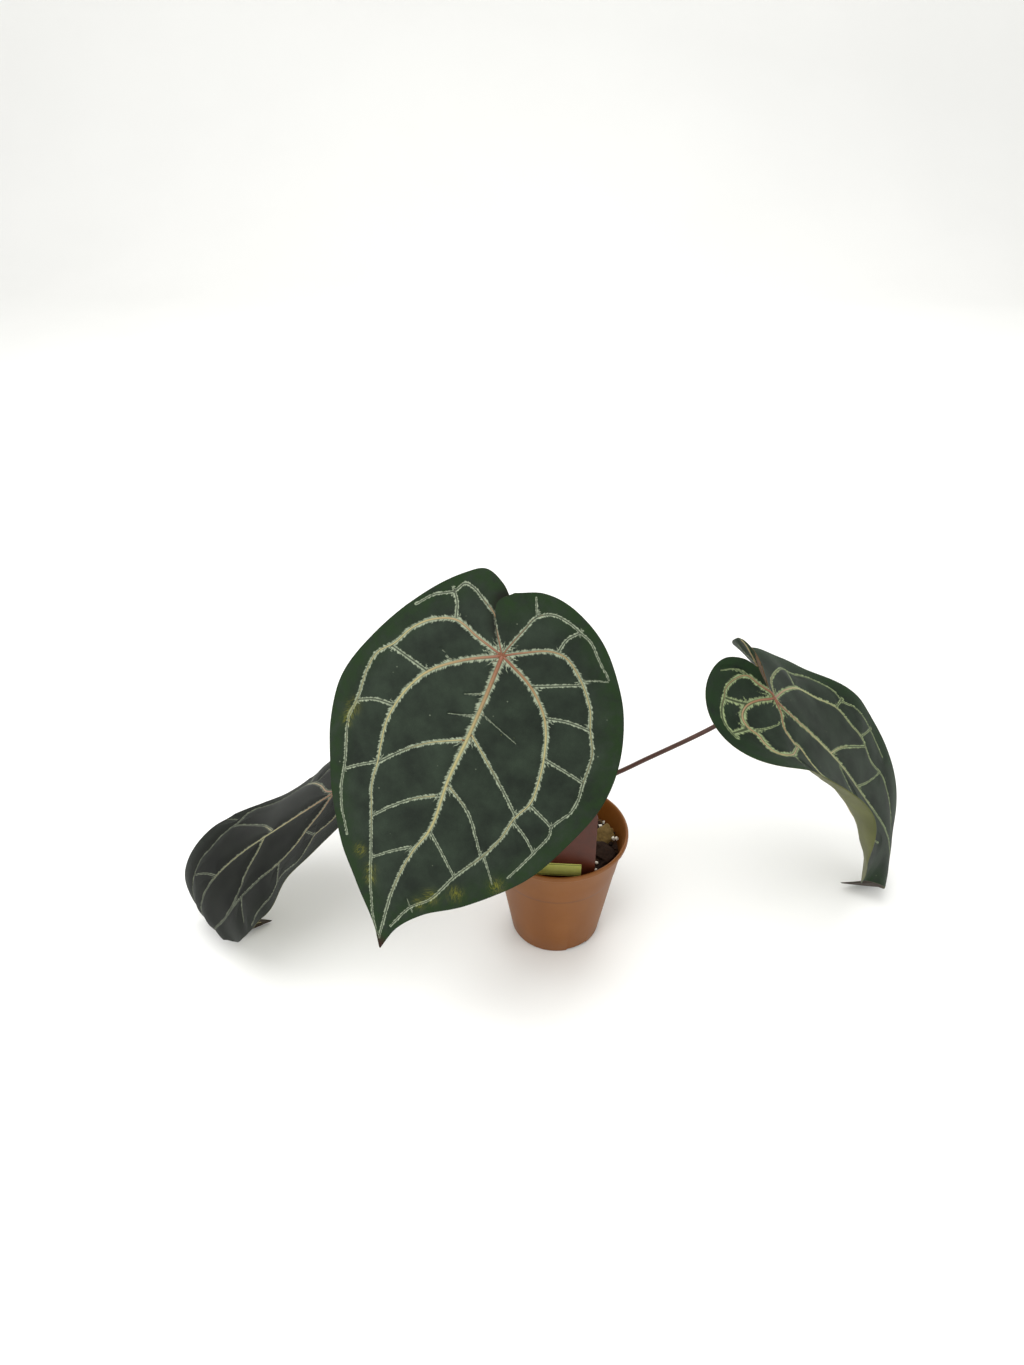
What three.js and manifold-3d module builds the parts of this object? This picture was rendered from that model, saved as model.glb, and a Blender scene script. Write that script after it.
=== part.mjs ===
// Potted anthurium hybrid: three large velvet leaves on long petioles, on a short stem in a nursery pot.
// Millimetres, +Z up. The origin is the middle of the pot's base, and the front of the plant faces -Y.

import * as THREE from 'three';
import { mergeVertices } from 'three/addons/utils/BufferGeometryUtils.js';
import Module from 'manifold-3d';

const wasm = await Module();
wasm.setup();

// Clearance between pieces that touch
const GAP = 0.3;

// Nursery pot: a standard 12 cm rim
const RIM_RADIUS = 60;
const POT_HEIGHT = 110.5;
const LIP_HEIGHT = 5;
const LIP_OVERHANG = 3;
const BASE_RADIUS = 38.8;
const STEP_HEIGHT = 73;
const STEP_RADIUS = 50.8;
const STEP_OUT = 0.7;
const WALL = 1.3;
const FLOOR = 2;
const POT_SIDES = 48;
const DRAIN_NOTCHES = 3;
const NOTCH_ANGLE = -62;
const NOTCH_WIDTH = 20;
const NOTCH_HEIGHT = 2.8;
const NOTCH_DEPTH = 7;
const FOOT_HEIGHT = 1.5;
const LOCK_TAB = [2.2, 3, 3];
const TAB_ANGLE = -28;

// Potting mix of bark and perlite
const MIX_TOP = 91;
const BARK_CHIPS = 26;
const PERLITE_GRAINS = 18;
const BARK_WIDTH = 0.68;
const BARK_HEIGHT = 0.42;
const MIX_SEED = 12;
const GOLDEN_ANGLE = Math.PI * (3 - Math.sqrt(5));

// Stem
const STEM_RADIUS = 8.5;
const STEM_FOOT = 62;
const STEM_TOP = 122;
const STEM_SIDES = 20;
const LEAF_SCARS = [88, 97, 106, 114];
const SHEATH_FOOT = 99;
const SHEATH_THICKNESS = 0.9;
const SHEATH_LEAN = -8;
const SHEATH_ROOM = 6;
const SOCKET_DEPTH = 7;

// Petioles: radius at the sheath, along the stalk and at the swollen knee under the blade
const PETIOLE_BASE = 3;
const PETIOLE_RADIUS = 1.9;
const KNEE_RADIUS = 2.8;
const KNEE_LENGTH = 14;
const KNEE_END = 1.7;
const PETIOLE_SIDES = 10;

// Leaf blades
const BLADE = 0.9;
const ARCH_WIDTH = 100;
const RIB_DEPTH = 1.7;
const RIB_WIDTH = 3;
const MIDRIB_STEPS = 16;
const BLADE_ROWS = 25;
const BLADE_COLUMNS = 7;
const LOBE_DEPTH = 30;

// Plant tag with its label
const TAG_HALF_WIDTH = 28.3;
const TAG_THICKNESS = 1;
const TAG_TOP = 66;
const TAG_SHOULDER = -8;
const TAG_STAKE = -48;
const STAKE_HALF_WIDTH = 9;
const TAG_LEAN = -3;
const TAG_YAW = -4;
const TAG_PLACE = [0, -45, 107];
const LABEL_SPAN = [-24, 17.4];
const LABEL_RISE = [-7.5, 6.5];
const LABEL_THICKNESS = 0.5;
const TAG_CORNER = 7;

const radians = THREE.MathUtils.degToRad;
const vector = (list) => new THREE.Vector3(...list);

function finish(color, roughness) {
  return new THREE.MeshStandardMaterial({ color, roughness, metalness: 0, side: THREE.DoubleSide });
}

// Solids: a closed geometry becomes a solid that can be joined and cut, and goes back to a geometry

function weld(geometry) {
  const bare = geometry.clone();
  bare.deleteAttribute('normal');
  bare.deleteAttribute('uv');
  const merged = mergeVertices(bare, 1e-4);
  const index = merged.index.array;
  const kept = [];
  for (let i = 0; i < index.length; i += 3) {
    const [a, b, c] = [index[i], index[i + 1], index[i + 2]];
    if (a !== b && b !== c && c !== a) kept.push(a, b, c);
  }
  merged.setIndex(kept);
  return merged;
}

function solidOf(geometry) {
  const welded = weld(geometry);
  const triVerts = new Uint32Array(welded.index.array);
  const vertProperties = new Float32Array(welded.attributes.position.array);
  const build = () => new wasm.Manifold(new wasm.Mesh({ numProp: 3, vertProperties, triVerts }));
  const solid = build();
  if (solid.volume() > 0) return solid;
  for (let i = 0; i < triVerts.length; i += 3) {
    [triVerts[i], triVerts[i + 1]] = [triVerts[i + 1], triVerts[i]];
  }
  return build();
}

function geometryOf(solid) {
  const { numProp, vertProperties, triVerts } = solid.getMesh();
  const positions = [];
  for (let i = 0; i < vertProperties.length; i += numProp) {
    positions.push(vertProperties[i], vertProperties[i + 1], vertProperties[i + 2]);
  }
  const geometry = new THREE.BufferGeometry();
  geometry.setAttribute('position', new THREE.Float32BufferAttribute(positions, 3));
  geometry.setIndex([...triVerts]);
  geometry.computeVertexNormals();
  return geometry;
}

function lathed(profile, sides) {
  const points = profile.map(([radius, height]) => new THREE.Vector2(radius, height));
  return new THREE.LatheGeometry(points, sides).rotateX(Math.PI / 2);
}

function box(width, depth, height, place, turn = [0, 0, 0]) {
  const geometry = new THREE.BoxGeometry(width, depth, height);
  geometry.applyMatrix4(new THREE.Matrix4().makeRotationFromEuler(new THREE.Euler(...turn, 'ZYX')));
  return geometry.translate(...place);
}

// A round stalk along a curve, with a radius that changes along it and flat ends

function stalk(curve, steps, sides, radiusAt) {
  const frames = curve.computeFrenetFrames(steps, false);
  const positions = [];
  const index = [];
  for (let i = 0; i <= steps; i++) {
    const centre = curve.getPointAt(i / steps);
    const radius = radiusAt(i / steps);
    for (let j = 0; j < sides; j++) {
      const angle = (2 * Math.PI * j) / sides;
      const point = centre.clone()
        .addScaledVector(frames.normals[i], radius * Math.cos(angle))
        .addScaledVector(frames.binormals[i], radius * Math.sin(angle));
      positions.push(...point.toArray());
    }
  }
  const at = (i, j) => i * sides + (j % sides);
  for (let i = 0; i < steps; i++) {
    for (let j = 0; j < sides; j++) {
      index.push(at(i, j), at(i, j + 1), at(i + 1, j));
      index.push(at(i + 1, j), at(i, j + 1), at(i + 1, j + 1));
    }
  }
  for (let j = 1; j < sides - 1; j++) {
    index.push(at(0, 0), at(0, j + 1), at(0, j));
    index.push(at(steps, 0), at(steps, j), at(steps, j + 1));
  }
  const geometry = new THREE.BufferGeometry();
  geometry.setAttribute('position', new THREE.Float32BufferAttribute(positions, 3));
  geometry.setIndex(index);
  return geometry;
}

// Pot: a thin moulded wall with a soft step, a turned-out lip and drain notches round its foot

const lipFoot = POT_HEIGHT - LIP_HEIGHT;
const neckRadius = RIM_RADIUS - LIP_OVERHANG;

function potRadius(height) {
  if (height < STEP_HEIGHT) {
    return THREE.MathUtils.mapLinear(height, 0, STEP_HEIGHT, BASE_RADIUS, STEP_RADIUS);
  }
  return THREE.MathUtils.mapLinear(height, STEP_HEIGHT, lipFoot, STEP_RADIUS + STEP_OUT, neckRadius);
}

function potGeometry() {
  const outer = [
    [0, 0], [BASE_RADIUS - 2, 0], [potRadius(FOOT_HEIGHT), FOOT_HEIGHT], [STEP_RADIUS, STEP_HEIGHT],
    [STEP_RADIUS + STEP_OUT, STEP_HEIGHT + 2], [neckRadius, lipFoot], [RIM_RADIUS - 0.6, lipFoot + 0.3],
    [RIM_RADIUS, lipFoot + 1.4], [RIM_RADIUS - 0.2, POT_HEIGHT - 1], [RIM_RADIUS - 1, POT_HEIGHT],
    [RIM_RADIUS - 2, POT_HEIGHT],
  ];
  const inner = [
    [RIM_RADIUS - 2.8, POT_HEIGHT - 1], [neckRadius - WALL, lipFoot],
    [STEP_RADIUS + STEP_OUT - WALL, STEP_HEIGHT + 2], [STEP_RADIUS - WALL, STEP_HEIGHT],
    [potRadius(FLOOR) - WALL, FLOOR], [0, FLOOR],
  ];
  let pot = solidOf(lathed([...outer, ...inner], POT_SIDES));
  for (let i = 0; i < DRAIN_NOTCHES; i++) {
    const angle = radians(NOTCH_ANGLE) + (2 * Math.PI * i) / DRAIN_NOTCHES;
    const reach = BASE_RADIUS + FOOT_HEIGHT - NOTCH_DEPTH / 2;
    const place = [reach * Math.cos(angle), reach * Math.sin(angle), 0];
    const notch = box(NOTCH_DEPTH, NOTCH_WIDTH, 2 * NOTCH_HEIGHT, place, [0, 0, angle]);
    pot = pot.subtract(solidOf(notch));
  }
  const tabAngle = radians(TAB_ANGLE);
  const tabReach = neckRadius + 0.8;
  const tabPlace = [tabReach * Math.cos(tabAngle), tabReach * Math.sin(tabAngle), lipFoot - 1];
  return geometryOf(pot.add(solidOf(box(...LOCK_TAB, tabPlace, [0, 0, tabAngle]))));
}

// Stem: a short stout shoot with leaf scars, and a socket for each petiole's sheath

const petioleSeats = {
  front: { place: [0, -4.6, STEM_TOP - SOCKET_DEPTH], lean: [-0.05, -0.12, 1] },
  left: { place: [-4.2, 2.4, STEM_TOP - SOCKET_DEPTH], lean: [-0.55, 0.05, 1] },
  right: { place: [4.2, 2.4, STEM_TOP - SOCKET_DEPTH], lean: [0.3, 0.02, 1] },
};

function stemProfile(grow) {
  const radius = STEM_RADIUS + grow;
  const profile = [[0, STEM_FOOT - grow], [radius - 2, STEM_FOOT - grow], [radius, STEM_FOOT + 8]];
  for (const height of LEAF_SCARS) {
    profile.push([radius, height], [radius + 0.9, height + 1.2], [radius + 0.2, height + 3]);
  }
  profile.push([radius, STEM_TOP - 2.5], [radius - 1.8, STEM_TOP + grow], [0, STEM_TOP + grow]);
  return profile;
}

function socketSolid(seat) {
  const lean = vector(seat.lean).normalize();
  const floor = vector(seat.place).addScaledVector(lean, -GAP);
  const mouth = vector(seat.place).addScaledVector(lean, 3 * SOCKET_DEPTH);
  const radius = PETIOLE_BASE + GAP + 0.05;
  return solidOf(stalk(new THREE.LineCurve3(floor, mouth), 1, PETIOLE_SIDES, () => radius));
}

function sheathSolid(angle, height, width) {
  const shape = new THREE.Shape();
  shape.moveTo(-width / 2, 0);
  shape.quadraticCurveTo(-width / 2, height * 0.6, 0, height);
  shape.quadraticCurveTo(width / 2, height * 0.6, width / 2, 0);
  const options = { depth: SHEATH_THICKNESS, bevelEnabled: false, curveSegments: 3 };
  const scale = new THREE.ExtrudeGeometry(shape, options);
  scale.rotateX(Math.PI / 2).rotateX(radians(SHEATH_LEAN)).rotateZ(angle - Math.PI / 2);
  const reach = STEM_RADIUS - 0.2;
  return solidOf(scale.translate(reach * Math.cos(angle), reach * Math.sin(angle), SHEATH_FOOT));
}

function stemGeometry() {
  let stem = solidOf(lathed(stemProfile(0), STEM_SIDES));
  const sheaths = [[0.6, 26, 10], [2.4, 22, 11], [3.9, 28, 9], [5.3, 20, 10]];
  for (const [angle, height, width] of sheaths) stem = stem.add(sheathSolid(angle, height, width));
  for (const seat of Object.values(petioleSeats)) stem = stem.subtract(socketSolid(seat));
  return geometryOf(stem);
}

// Tag: a flat plate on a stake that stands in the mix against the front of the wall, its top tipped forwards

function tagOutline(grow) {
  const shape = new THREE.Shape();
  const side = TAG_HALF_WIDTH + grow;
  const stake = STAKE_HALF_WIDTH + grow;
  shape.moveTo(-stake, TAG_SHOULDER - 8);
  shape.lineTo(-stake * 0.8, TAG_STAKE + 8 - grow);
  shape.lineTo(0, TAG_STAKE - grow);
  shape.lineTo(stake * 0.8, TAG_STAKE + 8 - grow);
  shape.lineTo(stake, TAG_SHOULDER - 8);
  shape.lineTo(side - 6, TAG_SHOULDER);
  shape.lineTo(side, 0);
  shape.lineTo(side - TAG_CORNER / 2, TAG_TOP - TAG_CORNER / 2);
  shape.lineTo(side - TAG_CORNER, TAG_TOP);
  shape.lineTo(TAG_CORNER - side, TAG_TOP);
  shape.lineTo(TAG_CORNER / 2 - side, TAG_TOP - TAG_CORNER / 2);
  shape.lineTo(-side, 0);
  shape.lineTo(6 - side, TAG_SHOULDER);
  return shape;
}

function leaned(geometry) {
  geometry.rotateX(Math.PI / 2).rotateX(radians(-TAG_LEAN)).rotateZ(radians(TAG_YAW));
  return geometry.translate(...TAG_PLACE);
}

function tagGeometry(grow = 0) {
  const depth = TAG_THICKNESS + 2 * grow;
  const plate = new THREE.ExtrudeGeometry(tagOutline(grow), { depth, bevelEnabled: false });
  return leaned(plate.translate(0, 0, -TAG_THICKNESS - grow));
}

function labelGeometry() {
  const width = LABEL_SPAN[1] - LABEL_SPAN[0];
  const height = LABEL_RISE[1] - LABEL_RISE[0];
  const tape = new THREE.BoxGeometry(width, height, LABEL_THICKNESS);
  const middle = (LABEL_SPAN[0] + LABEL_SPAN[1]) / 2;
  return leaned(tape.translate(middle, (LABEL_RISE[0] + LABEL_RISE[1]) / 2, GAP + LABEL_THICKNESS / 2));
}

// Potting mix: a packed body that fills the pot, with bark chips and perlite standing out of it

function seededRandom(seed) {
  let state = seed;
  return () => {
    state = (state * 1664525 + 1013904223) % 4294967296;
    return state / 4294967296;
  };
}

function cavityProfile(top) {
  const shrink = WALL + GAP;
  return [
    [0, FLOOR + GAP], [potRadius(FLOOR) - shrink - 0.2, FLOOR + GAP], [STEP_RADIUS - shrink, STEP_HEIGHT],
    [STEP_RADIUS + STEP_OUT - shrink, STEP_HEIGHT + 2], [potRadius(top) - shrink, top], [0, top],
  ];
}

// A chip is a block with its ends and sides pulled out of square

function barkChip(size, place, turn) {
  const chip = new THREE.BoxGeometry(size, size * BARK_WIDTH, size * BARK_HEIGHT);
  const corners = chip.attributes.position;
  for (let i = 0; i < corners.count; i++) {
    const [x, y, z] = [corners.getX(i), corners.getY(i), corners.getZ(i)];
    const taper = 1 - 0.15 * Math.sign(x * z) - 0.12 * Math.sign(y);
    corners.setXYZ(i, x * taper, y * (1 + 0.2 * Math.sign(x * z)), z * (1 - 0.15 * Math.sign(x)));
  }
  chip.applyMatrix4(new THREE.Matrix4().makeRotationFromEuler(new THREE.Euler(...turn)));
  return solidOf(chip.translate(...place));
}

function mixGeometry() {
  const random = seededRandom(MIX_SEED);
  const between = (low, high) => low + (high - low) * random();
  let mix = solidOf(lathed(cavityProfile(MIX_TOP), POT_SIDES));
  const wall = potRadius(MIX_TOP);
  for (let i = 0; i < BARK_CHIPS; i++) {
    const radius = (wall - 6) * Math.sqrt((i + 0.5) / BARK_CHIPS);
    const angle = i * GOLDEN_ANGLE + between(-0.2, 0.2);
    const place = [radius * Math.cos(angle), radius * Math.sin(angle), MIX_TOP + between(-1, 1.5)];
    const turn = [between(-0.5, 0.5), between(-0.5, 0.5), between(0, 2 * Math.PI)];
    mix = mix.add(barkChip(between(13, 21), place, turn));
  }
  mix = mix.add(barkChip(25, [41, 5, MIX_TOP + 5], [0.5, -0.3, 0.5]));
  mix = mix.add(barkChip(26, [40, -15, MIX_TOP + 4], [0.2, 0.25, -0.5]));
  for (let i = 0; i < PERLITE_GRAINS; i++) {
    const radius = (wall - 5) * Math.sqrt((i + 0.4) / PERLITE_GRAINS);
    const angle = i * GOLDEN_ANGLE + 1;
    const grain = new THREE.OctahedronGeometry(between(2, 3.2));
    grain.rotateX(between(0, 3)).rotateZ(between(0, 3));
    grain.translate(radius * Math.cos(angle), radius * Math.sin(angle), MIX_TOP + between(2.5, 5));
    mix = mix.add(solidOf(grain));
  }
  mix = mix.intersect(solidOf(lathed(cavityProfile(POT_HEIGHT - 7), POT_SIDES)));
  mix = mix.subtract(solidOf(lathed(stemProfile(GAP), STEM_SIDES)));
  const roomFoot = SHEATH_FOOT - 3;
  const roomRadius = STEM_RADIUS + SHEATH_ROOM;
  const sheathRoom = [[0, roomFoot], [roomRadius, roomFoot], [roomRadius + 2, POT_HEIGHT], [0, POT_HEIGHT]];
  mix = mix.subtract(solidOf(lathed(sheathRoom, STEM_SIDES)));
  mix = mix.subtract(solidOf(tagGeometry(GAP)));
  mix = mix.decompose().sort((a, b) => b.volume() - a.volume())[0];
  return geometryOf(mix);
}

// Leaf blades. A blade is laid out flat first: u runs along the midrib from the petiole to the tip, with
// the basal lobes at negative u, and v runs across it, positive on its left seen from above.
// Stations along u then say how the blade hangs: the midrib's heading and rise, the roll about it, and
// for the left and the right half how far it is folded down beside the midrib and curled at its edge.

function slopesOf(stations) {
  const count = stations.length;
  const secant = (i, k) => (stations[i + 1][k] - stations[i][k]) / (stations[i + 1][0] - stations[i][0]);
  return stations.map((station, i) => station.map((_, k) => {
    if (i === 0) return secant(0, k);
    if (i === count - 1) return secant(count - 2, k);
    const [before, after] = [secant(i - 1, k), secant(i, k)];
    if (before * after <= 0) return 0;
    const [h0, h1] = [station[0] - stations[i - 1][0], stations[i + 1][0] - station[0]];
    return (3 * (h0 + h1)) / ((2 * h1 + h0) / before + (h1 + 2 * h0) / after);
  }));
}

class Blade {
  constructor({ junction, stations, lift = [0, 0] }) {
    this.stations = stations;
    this.slopes = slopesOf(stations);
    this.lift = lift;
    this.first = stations[0][0];
    this.last = stations.at(-1)[0];
    const steps = Math.round(this.last - this.first);
    const path = [new THREE.Vector3()];
    for (let i = 1; i <= steps; i++) {
      const along = this.frame(this.first + i - 0.5).along;
      path.push(path[i - 1].clone().add(along));
    }
    const shift = vector(junction).sub(path[Math.round(-this.first)]);
    this.midrib = path.map((point) => point.add(shift));
  }

  station(u) {
    const clamped = THREE.MathUtils.clamp(u, this.first, this.last);
    let i = this.stations.findIndex((row) => row[0] > clamped) - 1;
    if (i < 0) i = this.stations.length - 2;
    const [from, to] = [this.stations[i], this.stations[i + 1]];
    const span = to[0] - from[0];
    const t = (clamped - from[0]) / span;
    const [t2, t3] = [t * t, t * t * t];
    return from.map((value, k) => (
      (2 * t3 - 3 * t2 + 1) * value
      + (t3 - 2 * t2 + t) * span * this.slopes[i][k]
      + (3 * t2 - 2 * t3) * to[k]
      + (t3 - t2) * span * this.slopes[i + 1][k]
    ));
  }

  frame(u) {
    const [, azimuth, rise, roll, ...sections] = this.station(u);
    const [az, el] = [radians(azimuth), radians(rise)];
    const along = new THREE.Vector3(Math.cos(el) * Math.cos(az), Math.cos(el) * Math.sin(az), Math.sin(el));
    const across = new THREE.Vector3(-Math.sin(az), Math.cos(az), 0).applyAxisAngle(along, radians(roll));
    return { along, across, up: along.clone().cross(across), sections };
  }

  point(u, v, side = v < 0 ? -1 : 1) {
    const { across, up, sections } = this.frame(u);
    const place = THREE.MathUtils.clamp(u, this.first, this.last) - this.first;
    const i = Math.min(Math.floor(place), this.midrib.length - 2);
    const centre = this.midrib[i].clone().lerp(this.midrib[i + 1], place - i);
    const half = side > 0 ? 0 : 1;
    const fold = radians(sections[half]);
    const curl = radians(sections[half + 2]) || 1e-4;
    const angle = fold + (curl * v * side) / ARCH_WIDTH;
    const reach = (ARCH_WIDTH / curl) * (Math.sin(angle) - Math.sin(fold));
    const drop = (ARCH_WIDTH / curl) * (Math.cos(fold) - Math.cos(angle));
    const lift = this.lift[half] * THREE.MathUtils.smoothstep(-u, 0, LOBE_DEPTH);
    return centre.addScaledVector(across, side * reach).addScaledVector(up, lift - drop);
  }

  normal(u, v, side) {
    const step = 1;
    const alongU = this.point(u + step, v, side).sub(this.point(u - step, v, side));
    const split = side && Math.abs(v) > step ? side : undefined;
    const alongV = this.point(u, v + step, split).sub(this.point(u, v - step, split));
    return alongU.cross(alongV).normalize();
  }
}

function flatCurve(points, count) {
  const places = points.map(([u, v]) => new THREE.Vector3(u, v, 0));
  const curve = new THREE.CatmullRomCurve3(places, false, 'centripetal');
  return curve.getSpacedPoints(count).map(({ x, y }) => [x, y]);
}

// The middle surface of a half: rows that run from the sinus edge and the midrib out to the margin

function halfRows({ sinus, margin }, length) {
  const outer = flatCurve([sinus.at(-1), ...margin, [length, 0]], BLADE_ROWS - 1);
  const sinusRows = Math.round(BLADE_ROWS / 6);
  const edge = flatCurve([...sinus].reverse(), sinusRows);
  const midribRows = BLADE_ROWS - 1 - sinusRows;
  const inner = [...edge];
  for (let i = 1; i <= midribRows; i++) inner.push([(length * i) / midribRows, 0]);
  return inner.map((from, i) => {
    const row = [];
    for (let j = 0; j <= BLADE_COLUMNS; j++) {
      const t = j / BLADE_COLUMNS;
      row.push([from[0] + (outer[i][0] - from[0]) * t, from[1] + (outer[i][1] - from[1]) * t]);
    }
    return row;
  });
}

function middleSurface(blade, leaf) {
  const positions = [];
  const index = [];
  for (const side of [1, -1]) {
    const rows = halfRows(side > 0 ? leaf.leftHalf : leaf.rightHalf, blade.last);
    const start = positions.length / 3;
    const at = (i, j) => start + i * (BLADE_COLUMNS + 1) + j;
    for (const row of rows) {
      for (const [u, v] of row) positions.push(...blade.point(u, v, side).toArray());
    }
    for (let i = 0; i < rows.length - 1; i++) {
      for (let j = 0; j < BLADE_COLUMNS; j++) {
        const quad = [at(i, j), at(i + 1, j), at(i, j + 1), at(i + 1, j + 1)];
        if (side > 0) index.push(quad[0], quad[1], quad[2], quad[2], quad[1], quad[3]);
        else index.push(quad[0], quad[2], quad[1], quad[1], quad[2], quad[3]);
      }
    }
  }
  const geometry = new THREE.BufferGeometry();
  geometry.setAttribute('position', new THREE.Float32BufferAttribute(positions, 3));
  geometry.setIndex(index);
  const welded = weld(geometry);
  welded.computeVertexNormals();
  return welded;
}

// Both faces are split into the same triangles, and the open edge is closed with a narrow band

function thickened(surface, thickness) {
  const { position, normal } = surface.attributes;
  const count = position.count;
  const positions = [];
  for (const face of [0.5, -0.5]) {
    for (let i = 0; i < count; i++) {
      const point = new THREE.Vector3().fromBufferAttribute(position, i);
      point.addScaledVector(new THREE.Vector3().fromBufferAttribute(normal, i), face * thickness);
      positions.push(...point.toArray());
    }
  }
  const faces = [...surface.index.array];
  const index = [];
  const edges = new Map();
  for (let i = 0; i < faces.length; i += 3) {
    const corners = faces.slice(i, i + 3);
    index.push(...corners, corners[0] + count, corners[2] + count, corners[1] + count);
    for (let k = 0; k < 3; k++) {
      const [a, b] = [corners[k], corners[(k + 1) % 3]];
      const twin = `${b},${a}`;
      if (edges.has(twin)) edges.delete(twin);
      else edges.set(`${a},${b}`, [a, b]);
    }
  }
  for (const [a, b] of edges.values()) index.push(b, a, a + count, b, a + count, b + count);
  const geometry = new THREE.BufferGeometry();
  geometry.setAttribute('position', new THREE.Float32BufferAttribute(positions, 3));
  geometry.setIndex(index);
  return geometry;
}

// A rib stands out of the underside along a vein, as a tapering ridge with its top inside the blade

function ribSolid(blade, { side, path, width, steps }) {
  const positions = [];
  const index = [];
  const points = flatCurve(path, steps);
  const places = points.map(([u, v]) => blade.point(u, v, side));
  points.forEach(([u, v], i) => {
    const taper = width * (1 - 0.55 * (i / steps));
    const normal = blade.normal(u, v, side);
    const along = places[Math.min(i + 1, steps)].clone().sub(places[Math.max(i - 1, 0)]);
    const across = along.cross(normal).normalize();
    for (const [over, under] of [[0.5, 0], [-0.5, 0], [0, 1]]) {
      const point = places[i].clone().addScaledVector(across, over * RIB_WIDTH * taper);
      positions.push(...point.addScaledVector(normal, -under * RIB_DEPTH * (0.4 + 0.6 * taper)).toArray());
    }
  });
  for (let i = 0; i < steps; i++) {
    for (let j = 0; j < 3; j++) {
      const [a, b] = [3 * i + j, 3 * i + ((j + 1) % 3)];
      index.push(a, a + 3, b, b, a + 3, b + 3);
    }
  }
  index.push(0, 1, 2, 3 * steps, 3 * steps + 2, 3 * steps + 1);
  const geometry = new THREE.BufferGeometry();
  geometry.setAttribute('position', new THREE.Float32BufferAttribute(positions, 3));
  geometry.setIndex(index);
  return solidOf(geometry);
}

function leafGeometry(leaf) {
  const blade = new Blade(leaf);
  let solid = solidOf(thickened(middleSurface(blade, leaf), BLADE));
  const path = [[0, 0], [blade.last / 2, 0], [blade.last - 8, 0]];
  const midrib = { side: 1, path, width: 1, steps: MIDRIB_STEPS };
  for (const rib of [midrib, ...leaf.ribs]) solid = solid.add(ribSolid(blade, rib));
  return geometryOf(solid);
}

// Front leaf: broad and nearly flat, facing the front, its right lobe lying over the left one

const frontLeaf = {
  junction: [-45.9, -63.3, 326],
  lift: [4, -3],
  stations: [
    [-56, 216, -60, -37, 3, 3, 10, 8],
    [0, 216, -60.5, -37, 3, 3, 10, 8],
    [120, 216, -62, -37, 3, 4, 12, 12],
    [245, 216, -65, -37, 3, 4, 12, 12],
  ],
  leftHalf: {
    sinus: [[0, 0], [-8, -5], [-22, -14], [-34, -17], [-44, -9]],
    margin: [[-52, 9], [-52, 27], [-43, 51], [-28, 70], [2, 92], [42, 106], [74, 107], [110, 97], [148, 79],
      [184, 47], [205, 20], [224, 6]],
  },
  rightHalf: {
    sinus: [[0, 0], [-14, -2], [-28, -4], [-37, -10]],
    margin: [[-45, -20], [-49, -35], [-40, -48], [-14, -70], [26, -92], [72, -106], [104, -101], [140, -86],
      [172, -66], [205, -35], [226, -14]],
  },
  ribs: [
    {
      side: 1, width: 0.9, steps: 9,
      path: [[0, 0], [10, 24], [50, 55], [90, 61], [143, 45], [191, 21], [222, 3]],
    },
    {
      side: -1, width: 0.9, steps: 9,
      path: [[0, 0], [16, -25], [56, -56], [99, -58], [152, -44], [197, -26], [234, -6]],
    },
    { side: 1, width: 0.7, steps: 8, path: [[0, 0], [-17, 28], [-12, 51], [22, 78], [75, 92], [125, 78]] },
    {
      side: -1, width: 0.7, steps: 8,
      path: [[0, 0], [-8, -40], [12, -70], [55, -90], [110, -86], [173, -58]],
    },
    { side: 1, width: 0.5, steps: 3, path: [[61, 1], [86, 35], [103, 57]] },
    { side: -1, width: 0.5, steps: 3, path: [[67, -1], [95, -40], [112, -55]] },
  ],
};

// Right leaf: long and arching down to the surface, its far lobe rolled up and its tip bent back under

const rightLeaf = {
  junction: [163.5, -5.8, 250.4],
  stations: [
    [-60, 5, -80, 50, 70, 85, 10, -45],
    [-25, 8, -70, 45, 50, 55, 20, -80],
    [20, 13, -46, 40, 20, 5, 30, -98],
    [80, 20, -48, 33, -4, 5, 33, -68],
    [140, 20, -54, 30, -18, 5, 15, -13],
    [200, 19, -54, 30, -16, 17, 0, 3],
    [250, 16, -72, 29, -8, 28, -10, 10],
    [285, 10, -95, 26, 5, 8, -5, 0],
    [297, 5, -130, 25, 10, 10, 0, 0],
    [309, 2, -184, 24, 12, 10, 0, 0],
    [336, 0, -184, 24, 8, 8, 0, 0],
  ],
  leftHalf: {
    sinus: [[0, 0], [-17, 1], [-33, 3]],
    margin: [[-42, 11], [-46, 25], [-36, 42], [-12, 65], [14, 78], [58, 86], [102, 86], [151, 78], [200, 65],
      [247, 43], [279, 19], [305, 7]],
  },
  rightHalf: {
    sinus: [[0, 0], [-17, -1], [-34, -3]],
    margin: [[-42, -12], [-44, -27], [-34, -44], [-13, -60], [14, -70], [55, -82], [99, -86], [143, -82],
      [192, -69], [236, -53], [281, -28], [309, -12]],
  },
  ribs: [
    {
      side: 1, width: 0.9, steps: 10,
      path: [[0, 0], [28, 29], [84, 50], [123, 47], [169, 38], [219, 25], [262, 12]],
    },
    {
      side: -1, width: 0.9, steps: 8,
      path: [[0, 0], [19, -16], [38, -25], [74, -38], [130, -40], [200, -26]],
    },
    { side: -1, width: 0.7, steps: 6, path: [[0, 0], [-12, -23], [-6, -35], [9, -47], [36, -32]] },
    { side: 1, width: 0.5, steps: 4, path: [[92, 1], [110, 15], [152, 41]] },
  ],
};

// Left leaf: drooping, both halves falling away from the midrib and the tip hanging down and back under

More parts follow.
